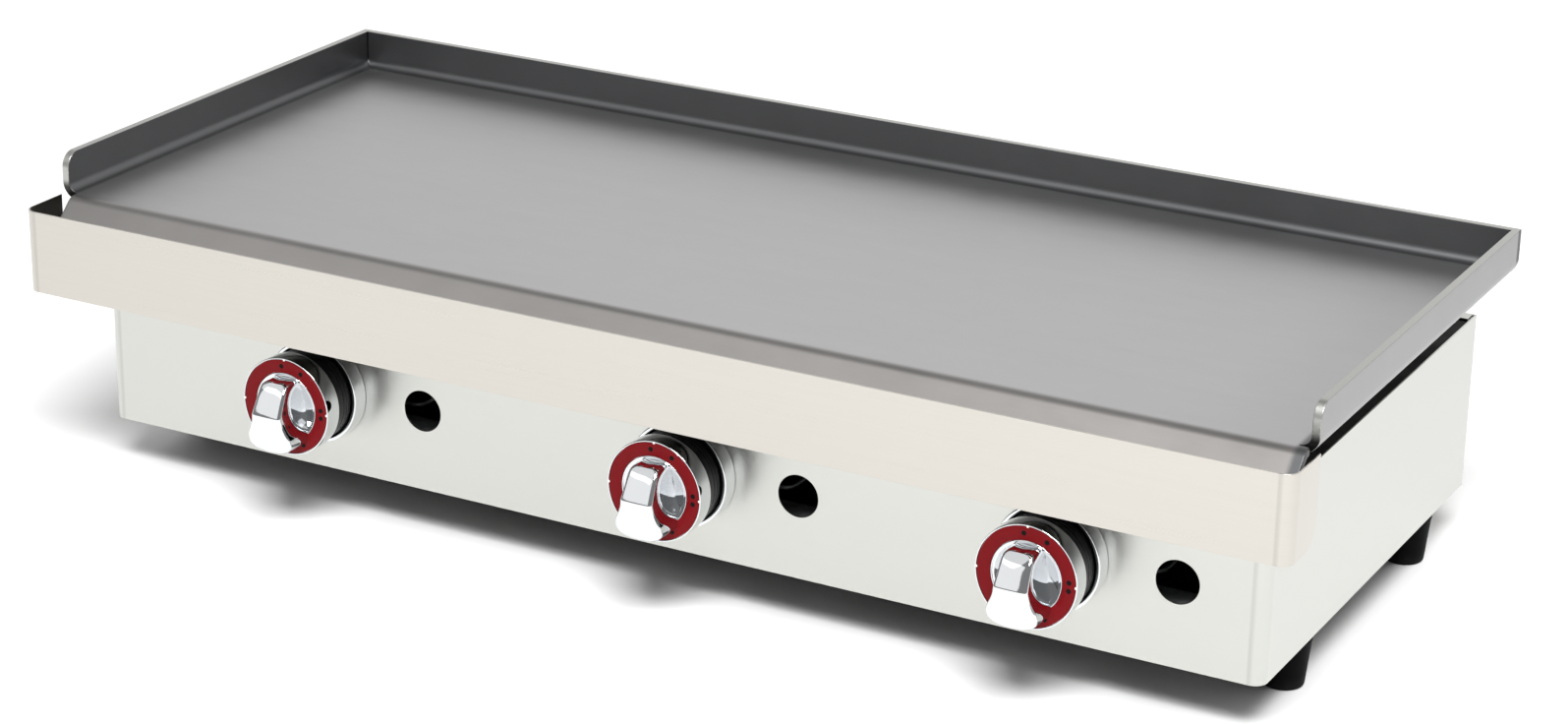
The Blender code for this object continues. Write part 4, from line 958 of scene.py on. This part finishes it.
class GRIDDLE_OT_knobs(bpy.types.Operator):
    """Make the control knobs: chrome cap, grip, red dial with its marks, collar and bezel"""

    bl_idname = "griddle.knobs"
    bl_label = "Knobs"

    def execute(self, context):
        sizes = context.scene.griddle_knob
        for number in KNOBS:
            self.make_cap(number, sizes)
            self.make_dial(number, sizes)
            self.make_collar(number, sizes)
            self.make_bezel(number, sizes)
        return {"FINISHED"}

    def rim_of(self, number, sizes):
        """Centre of the rim's front plane, and the cap's radius."""
        low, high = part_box("knob_cap_" + number)
        middle = (low + high) / 2
        return Vector((middle.x, high.y - sizes.band, middle.z)), (high.x - low.x) / 2

    def make_cap(self, number, sizes):
        rim, radius = self.rim_of(number, sizes)
        inner = radius - sizes.wall
        recess = radius - sizes.rim
        seat = -sizes.dial_recess
        edge = seat + 0.0010
        bowl = sizes.dial_inner - sizes.dish_edge
        floor = seat - sizes.dish_depth
        profile = filleted([
            (inner, -sizes.band, 0.0003), (radius, -sizes.band, 0.0005), (radius, 0, 0.0006),
            (recess, 0, 0.0003), (recess, seat, 0.0001), (sizes.dial_inner, seat, 0.0001),
            (sizes.dial_inner, edge, 0.0004), (bowl, edge, 0.0004)])
        depth = edge - floor
        ball = (bowl ** 2 + depth ** 2) / (2 * depth)
        start = math.asin(bowl / ball)
        for i in range(1, DISH_STEPS + 1):
            angle = start * (1 - i / DISH_STEPS)
            profile.append((ball * math.sin(angle), edge + ball * (math.cos(start) - math.cos(angle))))
        back = floor - sizes.wall
        profile += [(0, back), (sizes.dial_inner, back), (sizes.dial_inner, seat - sizes.wall),
                    (inner, seat - sizes.wall)]
        settle(turned("knob_chrome_" + number, profile, sizes.steps, rim, ["chrome"]),
               "knob_" + number, "chrome", "knob_cap_" + number)
        settle(make_grip(number, rim, sizes, radius), "knob_" + number, "chrome")

    def make_dial(self, number, sizes):
        rim, radius = self.rim_of(number, sizes)
        low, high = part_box("dial_ring_" + number)
        back = rim.y - high.y
        front = rim.y - low.y
        outer = radius - sizes.rim - GAP
        inner = sizes.dial_inner + GAP
        ring = filleted([(inner, back, 0.0001), (outer, back, 0.0001), (outer, front, 0.0002),
                         (inner, front, 0.0002)], 3)
        settle(turned("knob_dial_" + number, ring, sizes.steps, rim, ["dial_red"]),
               "knob_" + number, "red_dial", "dial_ring_" + number)
        self.make_marks("dial_marks_" + number, number, rim, front, (inner + outer) / 2,
                        (-5, 27, 85, 96, 152), 0.0018, "print_black")
        self.make_marks("dial_pips_" + number, number, rim, 0.0, radius - 0.0011, (0, 90, 180, 270),
                        0.0009, "print_white")

    def make_marks(self, name, number, rim, front, radius, angles, size, finish):
        """Small printed spots round the dial, at clockwise angles from the top."""
        places = []
        for angle in angles:
            turn = math.radians(angle)
            places.append((rim.x + radius * math.sin(turn), rim.y - front, rim.z + radius * math.cos(turn)))
        profile = [(0, -0.0002), (size, -0.0002), (size, 0.00006), (size * 0.8, 0.00012), (0, 0.00014)]
        add_studs(name, places, profile, 14, finish, "knob_" + number, "red_dial")

    def make_collar(self, number, sizes):
        """Black collar behind the cap, with shallow grooves round it."""
        low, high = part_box("knob_skirt_" + number)
        rim = self.rim_of(number, sizes)[0]
        outer = (high.x - low.x) / 2
        front = rim.y - low.y
        rear = front - sizes.collar
        hub_rear = rim.y - high.y
        web = front - 0.004
        corners = [(0.0033, hub_rear, 0.0002), (0.008, hub_rear, 0.0004), (0.008, web, 0.0008),
                   (outer - sizes.wall, web, 0.0008), (outer - sizes.wall, rear, 0.0004),
                   (outer, rear, 0.0006)]
        for i in range(3):
            groove = rear + 0.0030 + i * 0.0034
            corners += [(outer, groove, 0.0002), (outer - 0.0005, groove + 0.0004, 0.0001),
                        (outer, groove + 0.0008, 0.0002)]
        corners += [(outer, front, 0.0003), (0.0033, front, 0.0002)]
        settle(turned("knob_collar_" + number, filleted(corners, 3), sizes.steps, rim, ["black_plastic"]),
               "knob_" + number, "black_plastic", "knob_skirt_" + number)

    def make_bezel(self, number, sizes):
        """Chrome ring on the panel round the knob, black inside as painted shade."""
        low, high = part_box("bezel_" + number)
        centre = Vector(((low.x + high.x) / 2, high.y, (low.z + high.z) / 2))
        outer = (high.x - low.x) / 2
        depth = high.y - low.y
        bore = 0.012
        wall = 0.003
        section = filleted([
            (bore, 0, 0.0002), (outer, 0, 0.0004), (outer, depth, 0.0012), (outer - wall, depth, 0.0008),
            (outer - wall, wall, 0.0010), (bore, wall, 0.0006)])
        bezel = turned("knob_bezel_" + number, section, sizes.steps, centre, ["chrome", "black_plastic"])
        # painted shade: the bezel's inner faces, in the gap behind the collar, get black plastic
        for face in bezel.data.polygons:
            offset = face.center - centre
            if math.hypot(offset.x, offset.z) < outer - wall * 0.9 and -offset.y < depth - 0.0005:
                face.material_index = 1
        settle(bezel, "chassis", "chrome", "bezel_" + number)


# ---- Feet ----

class GRIDDLE_OT_feet(bpy.types.Operator):
    """Make the tapered rubber feet"""

    bl_idname = "griddle.feet"
    bl_label = "Feet"

    def execute(self, context):
        for place in ("front", "rear"):
            for side in ("left", "right"):
                node = "foot_" + place + "_" + side
                low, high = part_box(node)
                middle = middle_of(node)
                top = (high.x - low.x) / 2
                bottom = top - 0.0038
                corners = [(0, 0, 0), (0.006, 0, 0.0004), (0.0066, 0.0015, 0.0004), (0.0098, 0.0015, 0.0004),
                           (0.0104, 0, 0.0004), (bottom, 0, 0.0026), (top - 0.0004, high.z - 0.004, 0.0006),
                           (top, high.z - 0.0036, 0.0006), (top, high.z, 0.0006), (0, high.z, 0)]
                foot = turned("rubber_" + node, filleted(corners), 64, (middle.x, middle.y, 0),
                              ["foot_rubber"], "Z")
                settle(foot, "chassis", "foot_rubber", node)
        return {"FINISHED"}


# ---- Burners, gas and the pieces that carry the plate ----

class GRIDDLE_OT_burners(bpy.types.Operator):
    """Make the hairpin burners with their venturi mouths and ports"""

    bl_idname = "griddle.burners"
    bl_label = "Burners"

    def execute(self, context):
        sizes = context.scene.griddle_bay
        for number in KNOBS:
            low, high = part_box("burner_" + number)
            radius = sizes.burner
            left = middle_of("knob_cap_" + number).x
            right = high.x - radius
            z = (low.z + high.z) / 2
            turn = (right - left) / 2
            far = high.y - radius
            full = low.y + sizes.venturi
            tip = low.y + sizes.tip_setback
            path = [(left, full - 0.002, z), (left, far, z), (right, far, z), (right, tip + 0.003, z)]
            tube = tube_piece("burner_tube_" + number, path, radius, turn, "burner_steel", 40, 24)
            ports = bmesh.new()
            count = int((far - turn - full) / sizes.port_pitch) - 6
            for x in (left, right):
                for i in range(count):
                    y = far - turn - (i + 1) * sizes.port_pitch
                    add_box(ports, (x - sizes.port / 2, y - 0.0012, z + radius - 0.0032),
                            (x + sizes.port / 2, y + 0.0012, z + radius + 0.002))
            cut(tube, ports)
            smooth(settle(tube, "chassis", "burner_steel", "burner_" + number).data)
            wall = 0.0012
            throat = 0.0105
            mouth = 0.0150
            bead = 0.0158
            start = -sizes.venturi
            end = start - 0.004
            profile = filleted([
                (throat - wall, -0.012, 0.004), (mouth - wall, 0, 0.0003), (bead, 0.0006, 0.0003),
                (bead, -0.0010, 0.0003), (mouth, -0.0012, 0.0004), (throat, -0.012, 0.004),
                (radius, start, 0.003), (radius, end, 0), (radius - wall, end, 0),
                (radius - wall, start, 0.003)], 6)
            settle(turned("burner_venturi_" + number, profile, 48, (left, low.y, z), ["burner_steel"]),
                   "chassis", "burner_steel")
            rise = 0.003
            dome = [(0, 0.0), (radius, 0.0), (radius, rise)]
            dome += [(radius * math.cos(a), rise + rise * math.sin(a)) for a in (0.3, 0.6, 0.9, 1.2)]
            dome += [(0, 2 * rise)]
            settle(turned("burner_tip_" + number, dome, 48, (right, tip + 2 * rise, z), ["burner_steel"]),
                   "chassis", "burner_steel")
        return {"FINISHED"}


class GRIDDLE_OT_gas(bpy.types.Operator):
    """Finish the manifold, taps, injectors, thermocouples and gas inlet"""

    bl_idname = "griddle.gas"
    bl_label = "Gas train"

    def execute(self, context):
        low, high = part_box("gas_manifold")
        radius = (high.z - low.z) / 2 * 1.015
        z = (low.z + high.z) / 2
        front = low.y + radius
        side = high.x - radius
        path = [(low.x + 0.001, front, z), (side, front, z), (side, high.y, z)]
        pipe = tube_piece("manifold_pipe", path, radius, context.scene.griddle_bay.pipe_bend, "galvanised")
        smooth(settle(pipe, "chassis", "galvanised", "gas_manifold").data)
        for number in KNOBS:
            for node in ("tap_body_", "tap_bonnet_"):
                formed(node + number, "machined_brass", "brass", 0.0005)
            for node in ("tap_plug_", "injector_"):
                self.refinish(node + number, "machined_brass")
            self.refinish("thermocouple_" + number, "galvanised")
            self.refinish("spindle_" + number, "galvanised")
            low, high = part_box("tap_bonnet_" + number)
            inset = 0.0042
            places = [(x, low.y, z) for x in (low.x + inset, high.x - inset)
                      for z in (low.z + inset, high.z - inset)]
            self.make_screws("tap_screws_" + number, places, 0.0022)
        for node in ("gas_inlet", "inlet_nut"):
            formed(node, "machined_brass", "brass", 0.0004)
        return {"FINISHED"}

    def refinish(self, node, finish):
        """Give a CAD node its finish."""
        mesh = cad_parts[node].data
        mesh.materials.clear()
        mesh.materials.append(finish_of(finish))

    def make_screws(self, name, places, radius):
        profile = [(0, -0.0003), (radius, -0.0003), (radius, radius * 0.3), (radius * 0.8, radius * 0.62),
                   (radius * 0.42, radius * 0.74), (radius * 0.36, radius * 0.35), (0, radius * 0.30)]
        add_studs(name, places, profile, 16, "galvanised", "chassis", "galvanised")


class GRIDDLE_OT_bay(bpy.types.Operator):
    """Finish the base pan, heat shield, burner rest, rails, posts and drawer runners"""

    bl_idname = "griddle.bay"
    bl_label = "Bay"

    def execute(self, context):
        # painted shade: the pieces inside the body get the near-black finish
        for node in ("base_pan", "burner_rest", "heat_shield"):
            formed(node, "smoked_zinc", "galvanised")
        for side in ("left", "right"):
            # painted shade: the rails get the near-black finish
            formed("rail_" + side, "smoked_zinc", "galvanised")
            formed("drawer_runner_" + side, "galvanised", "galvanised")
            for place in ("front", "rear"):
                formed("plate_post_" + place + "_" + side, "galvanised", "galvanised")
        self.make_panel_screws(context.scene.griddle_bay.screw)
        return {"FINISHED"}

    def make_panel_screws(self, radius):
        """Screws that hold the rear panel, facing the rear."""
        low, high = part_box("rear_panel")
        inset = 0.014
        places = []
        for i in range(5):
            x = low.x + inset + (high.x - low.x - 2 * inset) * i / 4
            for z in (low.z + inset, high.z - inset):
                places.append((x, high.y, z))
        profile = [(0, 0.0003), (radius, 0.0003), (radius, -0.0009), (radius * 0.8, -0.0020),
                   (radius * 0.42, -0.0024), (radius * 0.36, -0.0012), (0, -0.0010)]
        add_studs("panel_screws", places, profile, 20, "galvanised", "chassis", "galvanised")


# ---- Studio ----

class GRIDDLE_OT_studio(bpy.types.Operator):
    """Make the floor, the soft lights and the camera"""

    bl_idname = "griddle.studio"
    bl_label = "Studio"

    def execute(self, context):
        studio = context.scene.griddle_studio
        bm = bmesh.new()
        bmesh.ops.create_grid(bm, x_segments=8, y_segments=8, size=9.0)
        floor = piece_of("studio_floor", bm, ["studio_floor"], outwards=False)
        self.make_world(context)
        self.make_softbox("side_softbox", (-1.5, -1.7, 2.9), (0.0, 0.0, 0.1), (2.6, 2.6), studio.side_light)
        self.make_softbox("low_softbox", (-1.55, -2.55, 1.75), (0.0, -0.2, 0.1), (2.2, 1.2), studio.low_light)
        self.make_softbox("key_softbox", (2.05, -3.31, 5.5), (0.0, 0.0, 0.0), (3.6, 2.2), studio.key_light)
        self.make_camera(context, studio)
        context.scene.view_settings.view_transform = "Standard"
        return {"FINISHED"}

    def make_world(self, context):
        """Surroundings that are bright low behind, and dimmer overhead, in front and at the left."""
        world = bpy.data.worlds.new("studio_world")
        world.use_nodes = True
        context.scene.world = world
        tree = Tree(world.node_tree)
        direction = tree.value("ShaderNodeTexCoord", output="Generated")
        split = tree.node("ShaderNodeSeparateXYZ", None, {0: direction})
        x, y, z = (Value(tree, socket) for socket in split.outputs)
        left = 1 - x.rise(-0.80, -0.45)
        light = 0.25 + 0.85 * y.rise(-0.2, 0.55) * (1 - z.rise(0.55, 0.90)) * (1 - 0.5 * left)
        shade = tree.value("ShaderNodeBackground", None, {"Color": (1.0, 1.0, 1.0, 1.0), "Strength": light})
        tree.node("ShaderNodeOutputWorld", None, {0: shade})

    def make_softbox(self, name, place, target, size, power):
        lamp = bpy.data.lights.new(name, "AREA")
        lamp.shape = "RECTANGLE"
        lamp.size, lamp.size_y = size
        lamp.energy = power
        light = bpy.data.objects.new(name, lamp)
        light.location = place
        light.rotation_euler = (Vector(target) - Vector(place)).to_track_quat("-Z", "Y").to_euler()
        bpy.context.scene.collection.objects.link(light)

    def make_camera(self, context, studio):
        azimuth, elevation, roll = (math.radians(angle) for angle in (28.21, 20.92, 0.94))
        target = Vector((0.0292, -0.0222, 0.1300))
        distance = 2.7063
        back = Vector((math.sin(azimuth) * math.cos(elevation), -math.cos(azimuth) * math.cos(elevation),
                       math.sin(elevation)))
        right = (-back).cross(Vector((0, 0, 1))).normalized()
        up = right.cross(-back)
        turned_right = math.cos(roll) * right + math.sin(roll) * up
        turned_up = -math.sin(roll) * right + math.cos(roll) * up
        lens = bpy.data.cameras.new("camera")
        lens.lens = studio.lens
        lens.sensor_width = 36.0
        camera = bpy.data.objects.new("camera", lens)
        camera.matrix_world = Matrix.Translation(target + back * distance) @ Matrix((
            turned_right, turned_up, back)).transposed().to_4x4()
        context.scene.collection.objects.link(camera)
        context.scene.camera = camera


# ---- Panel and registration ----

OPERATORS = (GRIDDLE_OT_plate, GRIDDLE_OT_drawer, GRIDDLE_OT_body, GRIDDLE_OT_knobs, GRIDDLE_OT_feet,
             GRIDDLE_OT_burners, GRIDDLE_OT_gas, GRIDDLE_OT_bay, GRIDDLE_OT_studio)
GROUPS = {
    "griddle_plate": GriddlePlateSizes,
    "griddle_drawer": GriddleDrawerSizes,
    "griddle_body": GriddleBodySizes,
    "griddle_knob": GriddleKnobSizes,
    "griddle_bay": GriddleBaySizes,
    "griddle_finishes": GriddleFinishes,
    "griddle_studio": GriddleStudio,
}


class GRIDDLE_PT_panel(bpy.types.Panel):
    """Operators and sizes of the griddle."""

    bl_idname = "GRIDDLE_PT_panel"
    bl_label = "Flat top griddle"
    bl_space_type = "VIEW_3D"
    bl_region_type = "UI"
    bl_category = "Griddle"

    def draw(self, context):
        for operator in OPERATORS:
            self.layout.operator(operator.bl_idname)
        for name in GROUPS:
            box = self.layout.box()
            group = getattr(context.scene, name)
            for key in group.bl_rna.properties.keys():
                if key not in ("rna_type", "name"):
                    box.prop(group, key)


def register():
    for group in GROUPS.values():
        bpy.utils.register_class(group)
    for name, group in GROUPS.items():
        setattr(bpy.types.Scene, name, PointerProperty(type=group))
    for operator in OPERATORS:
        bpy.utils.register_class(operator)
    bpy.utils.register_class(GRIDDLE_PT_panel)


def unregister():
    bpy.utils.unregister_class(GRIDDLE_PT_panel)
    for operator in reversed(OPERATORS):
        bpy.utils.unregister_class(operator)
    for name in GROUPS:
        delattr(bpy.types.Scene, name)
    for group in reversed(GROUPS.values()):
        bpy.utils.unregister_class(group)


def main():
    register()
    bpy.ops.griddle.plate()
    bpy.ops.griddle.drawer()
    bpy.ops.griddle.body()
    bpy.ops.griddle.knobs()
    bpy.ops.griddle.feet()
    bpy.ops.griddle.burners()
    bpy.ops.griddle.gas()
    bpy.ops.griddle.bay()
    bpy.ops.griddle.studio()


if __name__ == "__main__":
    main()
